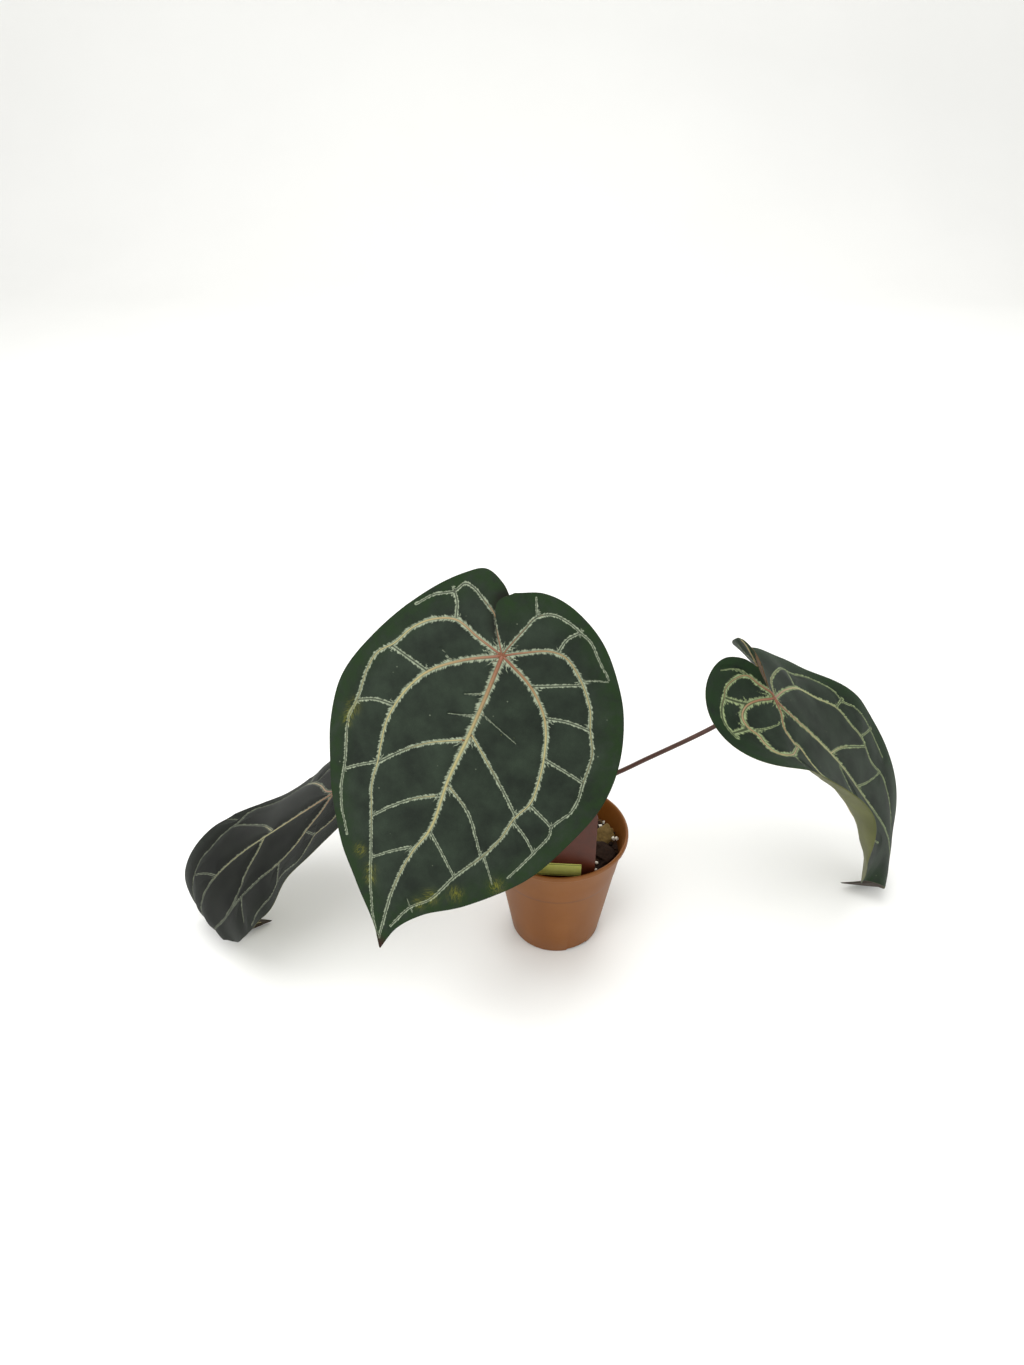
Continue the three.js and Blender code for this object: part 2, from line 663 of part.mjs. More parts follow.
const leftLeaf = {
  junction: [-184.3, -8.2, 158.3],
  stations: [
    [-50, 175, -38, -5, 0, 3, -15, -5],
    [30, 182, -37, -5, -5, 12, -5, 10],
    [80, 187, -35, -6, -5, 15, 15, 20],
    [130, 194, -44, -10, 0, 5, 20, 30],
    [170, 199, -73, -14, 5, 0, 28, 28],
    [200, 201, -129, -15, 0, -3, 25, 20],
    [225, 202, -165, -14, -8, 5, 18, 12],
    [255, 203, -180, -12, -12, 12, 10, 5],
  ],
  leftHalf: {
    sinus: [[0, 0], [-17, 1], [-32, 3]],
    margin: [[-41, 12], [-41, 27], [-33, 42], [-12, 63], [10, 74], [44, 82], [77, 83], [115, 75], [152, 62],
      [187, 41], [211, 18], [231, 7]],
  },
  rightHalf: {
    sinus: [[0, 0], [-17, -1], [-32, -3]],
    margin: [[-40, -12], [-38, -24], [-30, -40], [-12, -57], [10, -69], [42, -79], [75, -82], [108, -79],
      [145, -66], [179, -51], [213, -27], [234, -12]],
  },
  ribs: [
    { side: 1, width: 0.9, steps: 7, path: [[0, 0], [13, 17], [38, 38], [77, 44], [110, 42]] },
    { side: 1, width: 0.7, steps: 7, path: [[79, 1], [103, 27], [126, 39], [150, 37], [186, 22]] },
    {
      side: -1, width: 0.9, steps: 8,
      path: [[0, 0], [13, -14], [42, -52], [82, -66], [112, -60], [143, -39], [175, -24]],
    },
    { side: -1, width: 0.6, steps: 4, path: [[72, -1], [95, -32], [121, -51]] },
  ],
};

// Petioles: each rises out of its socket and ends square against the ribs under its blade

const petioleBends = {
  front: [[-8, 0, 200], [-26, -14, 272]],
  left: [[-40, 2, 139], [-110, -3, 147]],
  right: [[24, 1, 154], [60, 0, 179.5], [119, 0, 217]],
};

function petioleGeometry(seat, leaf, bends, steps) {
  const blade = new Blade(leaf);
  const normal = blade.normal(0, 0);
  const end = vector(leaf.junction).addScaledVector(normal, -(RIB_DEPTH + 1.5 * GAP));
  const knee = vector(leaf.junction).addScaledVector(normal, -KNEE_LENGTH);
  const foot = vector(seat.place);
  const rise = foot.clone().addScaledVector(vector(seat.lean).normalize(), SOCKET_DEPTH + 4);
  const route = [foot, rise, ...bends.map(vector), knee, end];
  const curve = new THREE.CatmullRomCurve3(route, false, 'centripetal');
  const length = curve.getLength();
  const radiusAt = (t) => {
    const fromFoot = t * length;
    const toEnd = (1 - t) * length;
    const sheath = (PETIOLE_BASE - PETIOLE_RADIUS) * (1 - THREE.MathUtils.smoothstep(fromFoot, 12, 70));
    const swelling = (KNEE_RADIUS - PETIOLE_RADIUS) * (1 - THREE.MathUtils.smoothstep(toEnd, 8, 22));
    const narrowing = (KNEE_RADIUS - KNEE_END) * (1 - THREE.MathUtils.smoothstep(toEnd, 0, 3));
    return PETIOLE_RADIUS + sheath + swelling - narrowing;
  };
  return stalk(curve, steps, PETIOLE_SIDES, radiusAt);
}

const plant = new THREE.Group();

function add(name, geometry, color, roughness) {
  const mesh = new THREE.Mesh(geometry, finish(color, roughness));
  mesh.name = name;
  plant.add(mesh);
}

add('pot', potGeometry(), '#9d6e45', 0.45);
add('potting_mix', mixGeometry(), '#3d2b20', 0.95);
add('stem', stemGeometry(), '#4f4a2c', 0.7);
add('petiole_front', petioleGeometry(petioleSeats.front, frontLeaf, petioleBends.front, 22), '#4a2a24', 0.5);
add('petiole_left', petioleGeometry(petioleSeats.left, leftLeaf, petioleBends.left, 22), '#4a2a24', 0.5);
add('petiole_right', petioleGeometry(petioleSeats.right, rightLeaf, petioleBends.right, 24), '#4a2a24', 0.5);
add('leaf_front', leafGeometry(frontLeaf), '#24352a', 0.62);
add('leaf_left', leafGeometry(leftLeaf), '#222c26', 0.62);
add('leaf_right', leafGeometry(rightLeaf), '#2c3a30', 0.62);
add('plant_tag', tagGeometry(), '#5b2d22', 0.4);
add('tag_label', labelGeometry(), '#afbf58', 0.55);

export default plant;
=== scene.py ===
import math
import random
from functools import partial

import bmesh
import bpy
import numpy as np
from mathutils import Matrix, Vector, noise


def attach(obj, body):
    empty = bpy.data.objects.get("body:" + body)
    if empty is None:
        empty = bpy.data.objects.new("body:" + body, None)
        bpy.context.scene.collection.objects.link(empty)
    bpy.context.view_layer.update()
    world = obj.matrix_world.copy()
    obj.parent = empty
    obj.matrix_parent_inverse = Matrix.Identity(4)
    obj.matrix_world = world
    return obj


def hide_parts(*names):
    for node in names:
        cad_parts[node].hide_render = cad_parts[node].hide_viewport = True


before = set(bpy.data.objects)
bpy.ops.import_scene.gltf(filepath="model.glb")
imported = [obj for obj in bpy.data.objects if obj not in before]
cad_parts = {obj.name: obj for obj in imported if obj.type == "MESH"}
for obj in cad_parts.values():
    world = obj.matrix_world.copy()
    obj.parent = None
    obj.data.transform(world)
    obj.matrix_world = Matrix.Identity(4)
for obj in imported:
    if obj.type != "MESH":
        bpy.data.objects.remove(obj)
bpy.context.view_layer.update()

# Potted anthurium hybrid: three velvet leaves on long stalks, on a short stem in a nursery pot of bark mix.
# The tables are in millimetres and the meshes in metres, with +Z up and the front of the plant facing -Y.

# Nursery pot: a standard 12 cm pot of terracotta-coloured polypropylene, injection moulded as one thin wall.
# It has a turned-out lip, a soft step for stacking, a small lock tab under the lip and three wide drain
# notches in its foot. The plant's mix fills it, and it stands on its flat base.

POT_HEIGHT = 110.5
RIM_RADIUS = 60
STEP_HEIGHT = 73
BASE_RADIUS = 38.8
POT_SIDES = 192
SHARP_EDGE = 35
WELD = 0.001
DRAIN_NOTCH = {"width": 20, "height": 2.8, "depth": 7, "outside": 1.5, "angles": (-62, 58, 178)}
LOCK_TAB = {"size": (2.2, 3, 3), "angle": -28, "reach": 57.8, "height": 104.5}
# Radius and height, up the outside, over the lip and down the inside
POT_PROFILE = [
    (0, 0), (36.6, 0), (37.7, 0.2), (38.5, 0.7), (38.95, 1.6), (42.4, 22), (46.9, 49), (50.75, 72.4),
    (50.95, 73.2), (51.3, 74.2), (51.52, 75), (53.6, 86.5), (56.7, 103.9), (57.1, 104.9), (58.2, 105.4),
    (59.3, 105.7), (59.85, 106.4), (RIM_RADIUS, 107.3), (59.95, 109), (59.6, 110), (58.9, POT_HEIGHT),
    (58.1, 110.4), (57.5, 109.8), (56.9, 108.2), (55.8, 105.2), (52.3, 86.5), (50.2, 75), (49.6, STEP_HEIGHT),
    (45.6, 49), (41.1, 22), (37.9, 3.2), (37.2, 2.2), (36, 2), (0, 2),
]


def linear(colour):
    """Turns an sRGB hex colour into the linear RGBA that a shader takes."""
    channels = [int(colour[i:i + 2], 16) / 255 for i in (1, 3, 5)]
    return [*(c / 12.92 if c <= 0.04045 else ((c + 0.055) / 1.055) ** 2.4 for c in channels), 1]


def feed(node, inputs):
    """Gives inputs of a node a value, a hex colour, an output socket, or another node's first output."""
    for name, value in inputs.items():
        if isinstance(value, bpy.types.Node):
            value = next(output for output in value.outputs if output.enabled)
        if isinstance(value, bpy.types.NodeSocket):
            node.id_data.links.new(value, node.inputs[name])
        else:
            node.inputs[name].default_value = linear(value) if isinstance(value, str) else value


def add_node(tree, kind, inputs=None, **settings):
    """Adds a shader node to a tree, with its settings and its inputs."""
    node = tree.nodes.new("ShaderNode" + kind)
    for name, value in settings.items():
        setattr(node, name, value)
    feed(node, inputs or {})
    return node


def new_finish(name):
    """A new material, the function that adds a node to it, and its surface shader."""
    material = bpy.data.materials.new(name)
    material.use_nodes = True
    return material, partial(add_node, material.node_tree), material.node_tree.nodes["Principled BSDF"]


def new_piece(name, vertices, faces, *finishes, sharp=SHARP_EDGE, weld=WELD, slots=(), marks=()):
    """Makes a mesh piece from millimetres, welds its seams, and lets it ride on the plant's one body.

    The slots say which finish each face has, and a mark is a name with a value for each vertex.
    """
    mesh = bpy.data.meshes.new(name)
    mesh.from_pydata(np.asarray(vertices, float) / 1000, [], faces)
    if slots:
        mesh.polygons.foreach_set("material_index", slots)
    for label, values in marks:
        mesh.attributes.new(label, "FLOAT", "POINT").data.foreach_set("value", values.astype(np.float32))
    welded = bmesh.new()
    welded.from_mesh(mesh)
    bmesh.ops.remove_doubles(welded, verts=welded.verts, dist=weld / 1000)
    bmesh.ops.recalc_face_normals(welded, faces=welded.faces)
    welded.to_mesh(mesh)
    welded.free()
    mesh.shade_smooth()
    if sharp:
        mesh.set_sharp_from_angle(angle=math.radians(sharp))
    for finish in finishes:
        mesh.materials.append(finish)
    piece = bpy.data.objects.new(name, mesh)
    bpy.context.scene.collection.objects.link(piece)
    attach(piece, "root")
    return piece


def grid_faces(rows, columns, start=0, closed=False):
    """The four-sided faces of a grid of vertices; a closed grid joins its last column to its first."""
    return [
        (start + i * columns + j, start + i * columns + (j + 1) % columns,
         start + (i + 1) * columns + (j + 1) % columns, start + (i + 1) * columns + j)
        for i in range(rows - 1) for j in range(columns if closed else columns - 1)
    ]


def revolved(profile, sides):
    """Turns a profile of radius and height round the pot's axis."""
    turn = np.linspace(0, 2 * math.pi, sides, endpoint=False)
    vertices = [(r * math.cos(a), r * math.sin(a), z) for r, z in profile for a in turn]
    return vertices, grid_faces(len(profile), sides, closed=True)


def block(size, reach, height, angle):
    """A block of some size at a reach from the pot's axis, turned to face it."""
    c, s = math.cos(angle), math.sin(angle)
    deep, wide, high = size
    vertices = [
        (c * (reach + x * deep) - s * y * wide, s * (reach + x * deep) + c * y * wide, height + z * high)
        for x in (-0.5, 0.5) for y in (-0.5, 0.5) for z in (-0.5, 0.5)
    ]
    return vertices, [(0, 1, 3, 2), (4, 6, 7, 5), (0, 4, 5, 1), (2, 3, 7, 6), (0, 2, 6, 4), (1, 5, 7, 3)]


def shape_with(piece, kind, **settings):
    """Adds a modifier to a piece and turns its result into the piece's own mesh."""
    modifier = piece.modifiers.new(kind, kind)
    for name, value in settings.items():
        setattr(modifier, name, value)
    shaped = bpy.data.meshes.new_from_object(piece.evaluated_get(bpy.context.evaluated_depsgraph_get()))
    piece.modifiers.clear()
    piece.data = shaped


# Terracotta-coloured polypropylene: smooth and satin, a little uneven in tone along the flow of the melt,
# with dry mineral dust outside, a line of painted shade in the stacking step, and painted shade inside, darker
# and redder on the inner wall. A pattern's scale is 1000 over the size of its cells in millimetres: here
# streaks of 22 mm, clouds of dust of 45 mm, and a grain drawn at 1.1 mm, coarser than the mould's, so that it
# shows.

WALL_FOOT = 0.0386
WALL_FLARE = 0.165

polypropylene, add, skin = new_finish("moulded_terracotta_polypropylene")
place = add("TexCoord").outputs["Object"]
parts = add("SeparateXYZ", {"Vector": place}).outputs
streaked = add("Mapping", {"Vector": place, "Scale": (1, 1, 0.12)})
streaks = add("TexNoise", {"Vector": streaked, "Scale": 1000 / 22.2, "Detail": 3})
clouds = add("TexNoise", {"Vector": place, "Scale": 1000 / 45.5, "Detail": 4, "Roughness": 0.6})
body = add("MixRGB", {"Fac": streaks, "Color1": "#6f3f12", "Color2": "#804d18"})
spread = add("MapRange", {"Value": clouds, "From Min": 0.42, "From Max": 0.75, "To Max": 0.2},
             interpolation_type="SMOOTHSTEP")
dusted = add("MixRGB", {"Fac": spread, "Color1": body, "Color2": "#936438"})
# Painted shade: a darker line along the stacking step, where shade falls under its overhang
above_step = add("Math", {0: parts["Z"], 1: (STEP_HEIGHT + 0.5) / 1000}, operation="SUBTRACT")
from_step = add("Math", {0: above_step}, operation="ABSOLUTE")
step_shade_share = add("MapRange", {
    "Value": from_step, "From Min": 0.0003, "From Max": 0.0016, "To Min": 0.45, "To Max": 0})
step_shaded = add("MixRGB", {"Fac": step_shade_share, "Color1": dusted, "Color2": "#4f2a10"})
# Inside is where the distance from the axis falls short of the wall's own middle
level = add("CombineXYZ", {"X": parts["X"], "Y": parts["Y"]})
radius = add("VectorMath", {0: level}, operation="LENGTH")
wall = add("Math", {0: parts["Z"], 1: WALL_FLARE, 2: WALL_FOOT}, operation="MULTIPLY_ADD")
depth = add("Math", {0: wall, 1: radius}, operation="SUBTRACT")
inside = add("MapRange", {"Value": depth, "From Min": 0.0004, "From Max": 0.0012})
# Painted shade: the inner wall is darker and redder than the outside
inside_shaded = add("MixRGB", {"Fac": inside, "Color1": step_shaded, "Color2": "#6a2a14"})
grain = add("TexNoise", {"Vector": place, "Scale": 1000 / 1.11, "Detail": 2})
feed(skin, {
    "Base Color": inside_shaded,
    "Normal": add("Bump", {"Height": grain, "Strength": 0.12, "Distance": 0.0002}),
    "Roughness": add("MapRange", {"Value": clouds, "To Min": 0.4, "To Max": 0.56}),
    "IOR": 1.49,
    "Specular IOR Level": 0.3,
})

pot = new_piece("nursery_pot", *revolved(POT_PROFILE, POT_SIDES), polypropylene)
for angle in map(math.radians, DRAIN_NOTCH["angles"]):
    reach = BASE_RADIUS + DRAIN_NOTCH["outside"] - DRAIN_NOTCH["depth"] / 2
    size = (DRAIN_NOTCH["depth"], DRAIN_NOTCH["width"], 2 * DRAIN_NOTCH["height"])
    cutter = new_piece("notch", *block(size, reach, 0, angle))
    shape_with(cutter, "BEVEL", width=0.0012, segments=3)
    shape_with(pot, "BOOLEAN", object=cutter, operation="DIFFERENCE", solver="EXACT")
    bpy.data.objects.remove(cutter)
pot.data.set_sharp_from_angle(angle=math.radians(SHARP_EDGE))
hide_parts("pot")

tab_block = block(LOCK_TAB["size"], LOCK_TAB["reach"], LOCK_TAB["height"], math.radians(LOCK_TAB["angle"]))
lock_tab = new_piece("pot_lock_tab", *tab_block, polypropylene)
shape_with(lock_tab, "BEVEL", width=0.0005, segments=3)

# Potting mix: chunks and splinters of aged pine bark with white expanded perlite, poured round the roots and
# settled, so that chips of every size lie across each other. It fills the pot to about 2 cm under the rim.

MIX_TOP = 91
MIX_SEED = 12
# The smooth bed below the loose chips: how far under them it lies, its gap to the wall and its mesh
BED_FALL = 3
BED_GAP = 0.4
BED_SIDES = 72
BED_RINGS = 22
POT_INSIDE = [(2, 37.8), (STEP_HEIGHT, 49.6), (75, 50.2), (105.5, 55.8)]
# How many chips, and the length of the shortest and the longest
CHIP_KINDS = [(20, 12, 17), (120, 6, 11), (260, 3, 6)]
SMALL_CHIP = 6
# A chip's shape: how round its corners are, and the noise that knocks and splinters it, over half its length
CORNER_ROUNDING = 0.45
KNOCK_SCALE = 1.3
SPLINTER_SCALE = (1.2, 5, 5)
SPLINTER_SHARE = 0.35
PERLITE_GRAINS = 70
PERLITE_SIZES = (1.8, 3.6)
# No loose chip lies on the stem, behind the tag, or, if it is small, where the mix shows beside the tag
STEM_CLEARANCE = 12
TAG_BACK = -38
TAG_HALF = 32
SHOWN_MIX = {"left": 33, "front": -36, "back": 20, "smallest": 4}
# The chips that show beside the tag: place, size and turn
SHOWN_CHIPS = [
    ((38.5, 5, 95.5), (21, 16, 11), (0.5, -0.3, 0.5)),
    ((37.5, -14, 94.5), (21, 17, 12), (0.2, 0.25, -0.5)),
]
SHOWN_PERLITE = [(38, 16, 98.5), (47.5, -3, 101.5), (50.5, -2, 100.5)]
SHOWN_PERLITE_SIZE = 3.2

mix_random = random.Random(MIX_SEED)
# Without a seed the vectors of this noise start from the time of day, and each run has other chips
noise.seed_set(MIX_SEED)


def pot_inner_radius(height):
    """The radius of the pot's inner wall at a height."""
    return float(np.interp(height, *zip(*POT_INSIDE)))


def lump(size, centre, turn, steps, roughness):
    """A rough block: a box with a grid on each face, its corners rounded, knocked out of shape by noise."""
    seed = Vector([mix_random.uniform(-90, 90) for _ in range(3)])
    (ca, sa), (cb, sb), (cc, sc) = ((math.cos(t), math.sin(t)) for t in turn)
    turned = np.array([
        [cb * cc, sa * sb * cc - ca * sc, ca * sb * cc + sa * sc],
        [cb * sc, sa * sb * sc + ca * cc, ca * sb * sc - sa * cc],
        [-sb, sa * cb, ca * cb],
    ])
    ticks = np.linspace(-1, 1, steps)
    vertices, faces = [], []
    for axis in range(3):
        for end in (-1, 1):
            faces += grid_faces(steps, steps, len(vertices))
            for a in ticks:
                for b in ticks:
                    corner = np.insert([a, b], axis, end)
                    rounded = corner / np.linalg.norm(corner) ** CORNER_ROUNDING
                    knocked = noise.noise_vector(Vector(rounded * KNOCK_SCALE) + seed)
                    splinter = noise.noise_vector(Vector(rounded * SPLINTER_SCALE) + seed) * SPLINTER_SHARE
                    shaped = (rounded + roughness * np.array(knocked + splinter)) * np.array(size) * 0.5
                    vertices.append(turned @ shaped + centre)
    return vertices, faces


def heap(lumps):
    """Joins lumps into one list of vertices and faces."""
    vertices, faces = [], []
    for points, sides in lumps:
        faces += [tuple(len(vertices) + corner for corner in side) for side in sides]
        vertices += points
    return vertices, faces


def scattered(size):
    """A place on the mix for a chip of some size, clear of the stem, the tag and the pot's wall."""
    outer = pot_inner_radius(MIX_TOP) - size * 0.55
    while True:
        radius = outer * math.sqrt(mix_random.random())
        angle = mix_random.uniform(0, 2 * math.pi)
        x, y = radius * math.cos(angle), radius * math.sin(angle)
        shown = (x > SHOWN_MIX["left"] and SHOWN_MIX["front"] < y < SHOWN_MIX["back"]
                 and size < SHOWN_MIX["smallest"])
        if radius > STEM_CLEARANCE and not shown and not (y < TAG_BACK and abs(x) < TAG_HALF):
            return x, y


# Pine bark: dull brown where it has aged, fox-red and tan where it is freshly broken, each chip its own shade,
# with a fibrous grain of about 2.4 mm, pores of 3 mm and no shine.


def bark_finish(name, dark, light, fresh):
    """Pine bark between a dark and a light shade, with a few chips in the shade of fresh breaks."""
    material, add, skin = new_finish(name)
    place = add("TexCoord").outputs["Object"]
    chip = add("NewGeometry").outputs["Random Per Island"]
    shade = add("MixRGB", {"Fac": chip, "Color1": dark, "Color2": light})
    broken = add("MapRange", {"Value": chip, "From Min": 0.93, "From Max": 0.97})
    toned = add("MixRGB", {"Fac": broken, "Color1": shade, "Color2": fresh})
    fibres = add("Mapping", {"Vector": place, "Scale": (1, 0.35, 1)})
    grain = add("TexNoise", {"Vector": fibres, "Scale": 1000 / 2.38, "Detail": 6, "Roughness": 0.7})
    streaks = add("MixRGB", {"Fac": grain, "Color1": "#3a302a", "Color2": "#f4ece0"})
    pores = add("TexVoronoi", {"Vector": place, "Scale": 1000 / 3.03})
    height = add("Math", {0: grain, 1: pores}, operation="ADD")
    feed(skin, {
        "Base Color": add("MixRGB", {"Fac": 0.85, "Color1": toned, "Color2": streaks}, blend_type="MULTIPLY"),
        "Normal": add("Bump", {"Height": height, "Strength": 0.7, "Distance": 0.0008}),
        "Roughness": 0.92,
        "Specular IOR Level": 0.25,
    })
    return material


pine_bark = bark_finish("aged_pine_bark", "#2a1a12", "#4f3826", "#85704a")
split_bark = bark_finish("fresh_split_pine_bark", "#a08650", "#8a7444", "#93804e")

# Expanded perlite: popped volcanic glass, chalk white, pitted every 0.7 mm and quite matt.

perlite, add, skin = new_finish("expanded_perlite")
pits = add("TexVoronoi", {"Vector": add("TexCoord").outputs["Object"], "Scale": 1000 / 0.714})
feed(skin, {
    "Base Color": add("MixRGB", {"Fac": pits, "Color1": "#c9bfa8", "Color2": "#f3efe4"}),
    "Normal": add("Bump", {"Height": pits, "Strength": 0.6, "Distance": 0.0004}),
    "Roughness": 0.95,
})

bed_edge = pot_inner_radius(MIX_TOP - 2) - BED_GAP
bed_profile = [(0, 2.4), (37.2, 2.4), (49.2, STEP_HEIGHT), (49.9, 75), (bed_edge, MIX_TOP - BED_FALL)]
crust = []
for ring in range(BED_RINGS):
    radius = bed_edge * (1 - ring / (BED_RINGS - 1))
    for step in range(BED_SIDES):
        angle = 2 * math.pi * step / BED_SIDES
        spot = Vector((radius * math.cos(angle), radius * math.sin(angle), 0))
        lift = 2.2 * noise.noise(spot * 0.12) + 1.4 * noise.noise(spot * 0.4) if ring else 0
        crust.append((spot.x, spot.y, MIX_TOP - BED_FALL + lift))
bed = heap([revolved(bed_profile, BED_SIDES), (crust, grid_faces(BED_RINGS, BED_SIDES, closed=True))])

chips = [lump(size, centre, turn, 9, 0.3) for centre, size, turn in SHOWN_CHIPS]
tan_chip = new_piece("tan_bark_chip", *chips.pop(0), split_bark, sharp=50)
for count, shortest, longest in CHIP_KINDS:
    for _ in range(count):
        length = mix_random.uniform(shortest, longest)
        x, y = scattered(length)
        size = (length, length * mix_random.uniform(0.45, 0.8), length * mix_random.uniform(0.25, 0.5))
        turn = (mix_random.uniform(-0.6, 0.6), mix_random.uniform(-0.6, 0.6), mix_random.uniform(0, 6.3))
        z = MIX_TOP + mix_random.uniform(-2, 1.5) + (1.5 if length < SMALL_CHIP else 0)
        chips.append(lump(size, (x, y, z), turn, 5 if length > SMALL_CHIP else 3, 0.32))
bark = new_piece("bark_mix", *heap([bed, *chips]), pine_bark, sharp=50)
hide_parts("potting_mix")

grains = []
for i in range(PERLITE_GRAINS):
    size = mix_random.uniform(*PERLITE_SIZES)
    x, y = scattered(size)
    centre = (x, y, MIX_TOP + mix_random.uniform(0.5, 4))
    if i < len(SHOWN_PERLITE):
        centre, size = SHOWN_PERLITE[i], SHOWN_PERLITE_SIZE
    grains.append(lump((size, size * 0.8, size * 0.7), centre, (i, 2 * i, 3 * i), 4, 0.35))
white_grains = new_piece("perlite_grains", *heap(grains), perlite, sharp=60)

# Stem: the short stout shoot that the leaves grow from, ringed with the scars of fallen leaves. Dry papery
# sheaths, which once wrapped each new leaf, still stand round it.

STEM_RADIUS = 8.5
STEM_FOOT = 62
LEAF_SCARS = (88, 97, 106, 114)
# A scar's ring, as radius and height over its lower edge
SCAR_RING = [(8.3, -1), (STEM_RADIUS, 0), (9.2, 0.5), (9.35, 1.3), (8.9, 2.2), (STEM_RADIUS, 3.5)]
STEM_END = [(8.4, 118.5), (7.7, 120.4), (6.2, 121.6), (4, 122), (0, 122)]
SHEATH_FOOT = 98
SHEATH_THICKNESS = 0.5
SHEATH_GAP = 0.7
SHEATH_FLARE = 2.4
SHEATH_WRINKLE = 0.5
SHEATH_GRID = (14, 9)
# Each sheath's angle round the stem, height and width
SHEATHS = [(0.6, 26, 13), (2.4, 22, 14), (3.9, 28, 12), (5.3, 20, 13)]


def fibrous_finish(name, dark, light, size, stretch, detail, strength, depth, **surface):
    """A finish of two shades in fibres of some size in millimetres, drawn out one way, with their relief."""
    material, add, skin = new_finish(name)
    drawn_out = add("Mapping", {"Vector": add("TexCoord").outputs["Object"], "Scale": stretch})
    fibres = add("TexNoise", {"Vector": drawn_out, "Scale": 1000 / size, **detail})
    toned = add("MixRGB", {"Fac": fibres, "Color1": dark, "Color2": light})
    relief = add("Bump", {"Height": fibres, "Strength": strength, "Distance": depth / 1000})
    feed(skin, {"Base Color": toned, "Normal": relief, **surface})
    return material, add, skin, toned


# Stem skin: corky olive-brown with green showing in its long cracks, 4 mm apart, and quite rough.
# Dry sheath: thin brown paper with long parallel fibres, 1.4 mm apart.

stem_skin, *_ = fibrous_finish(
    "corky_stem_skin", "#333519", "#7b6a44", 3.85, (1, 1, 0.3), {"Detail": 5, "Roughness": 0.65}, 0.6, 0.8,
    Roughness=0.75)
dry_sheath, *_ = fibrous_finish(
    "dry_papery_sheath", "#4a2f1b", "#a98257", 1.43, (1, 1, 0.06), {"Detail": 3}, 0.4, 0.4, Roughness=0.6)

stem_profile = [(0, STEM_FOOT), (6.5, STEM_FOOT), (STEM_RADIUS, 70)]
stem_profile += [(radius, scar + rise) for scar in LEAF_SCARS for radius, rise in SCAR_RING] + STEM_END
stem = new_piece("stem", *revolved(stem_profile, 48), stem_skin, sharp=60)
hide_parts("stem")

sheath_parts = []
for angle, height, width in SHEATHS:
    rows = []
    for up in np.linspace(0, 1, SHEATH_GRID[0]):
        half = width / 2 * (1 - up ** 2.2)
        for across in np.linspace(-1, 1, SHEATH_GRID[1]):
            around = angle + across * half / STEM_RADIUS
            wrinkle = SHEATH_WRINKLE * math.sin(9 * across + 7 * up + angle)
            reach = STEM_RADIUS + SHEATH_GAP + SHEATH_FLARE * up ** 2 + wrinkle
            rows.append((reach * math.cos(around), reach * math.sin(around), SHEATH_FOOT + height * up))
    sheath_parts.append((rows, grid_faces(*SHEATH_GRID)))
sheaths = new_piece("dry_sheaths", *heap(sheath_parts), dry_sheath, sharp=80)
shape_with(sheaths, "SOLIDIFY", thickness=SHEATH_THICKNESS / 1000, offset=0)

# Leaf stalks: round solid petioles, one to a leaf, that leave a sheath at the stem and end in a swollen knee
# just under the blade, with which the leaf turns to the light.

STALK_RADIUS = 1.9
STALK_SIDES = 20
STALK_STEPS = 110
# How much stouter a stalk is at its foot and at its knee, and how much its very end draws in
FOOT_SWELL = 1.1
KNEE_SWELL = 0.95
END_TAPER = 0.6
STALKS = {
    "front": [(0, -4.6, 115), (-0.5, -5.9, 125.9), (-8, 0, 200), (-26, -14, 272), (-42.9, -50.7, 320.6),
              (-45.7, -62.4, 325.6)],
    "left": [(-4.2, 2.4, 115), (-9.5, 2.9, 124.6), (-40, 2, 139), (-110, -3, 147), (-175.8, -8.7, 147.2),
             (-183.7, -8.2, 157.5)],
    "right": [(4.2, 2.4, 115), (7.4, 2.6, 125.5), (24, 1, 154), (60, 0, 179.5), (119, 0, 217),
              (153, 0.6, 243.8), (162.7, -5.3, 249.9)],
}


def run_along(points):
    """How far along a line of points each of them lies."""
    return np.r_[0, np.cumsum(np.linalg.norm(np.diff(points, axis=0), axis=1))]


def curve_through(points, count):
    """Even steps along a smooth curve through the points (a centripetal Catmull-Rom curve)."""
    points = np.array(points, float)
    ends = np.vstack([2 * points[0] - points[1], points, 2 * points[-1] - points[-2]])
    dense = []
    for p0, p1, p2, p3 in zip(ends, ends[1:], ends[2:], ends[3:]):
        t1 = np.linalg.norm(p1 - p0) ** 0.5
        t2 = t1 + np.linalg.norm(p2 - p1) ** 0.5
        t3 = t2 + np.linalg.norm(p3 - p2) ** 0.5
        t = np.linspace(t1, t2, 24, endpoint=False)[:, None]
        a1 = (t1 - t) / t1 * p0 + t / t1 * p1
        a2 = (t2 - t) / (t2 - t1) * p1 + (t - t1) / (t2 - t1) * p2
        a3 = (t3 - t) / (t3 - t2) * p2 + (t - t2) / (t3 - t2) * p3
        b1 = (t2 - t) / t2 * a1 + t / t2 * a2
        b2 = (t3 - t) / (t3 - t1) * a2 + (t - t1) / (t3 - t1) * a3
        dense.append((t2 - t) / (t2 - t1) * b1 + (t - t1) / (t2 - t1) * b2)
    dense = np.vstack([*dense, points[-1:]])
    run = run_along(dense)
    steps = np.linspace(0, run[-1], count)
    return np.stack([np.interp(steps, run, axis) for axis in dense.T], axis=1)


def unit(vectors):
    """Vectors scaled to length one."""
    return vectors / np.maximum(np.linalg.norm(vectors, axis=-1, keepdims=True), 1e-9)


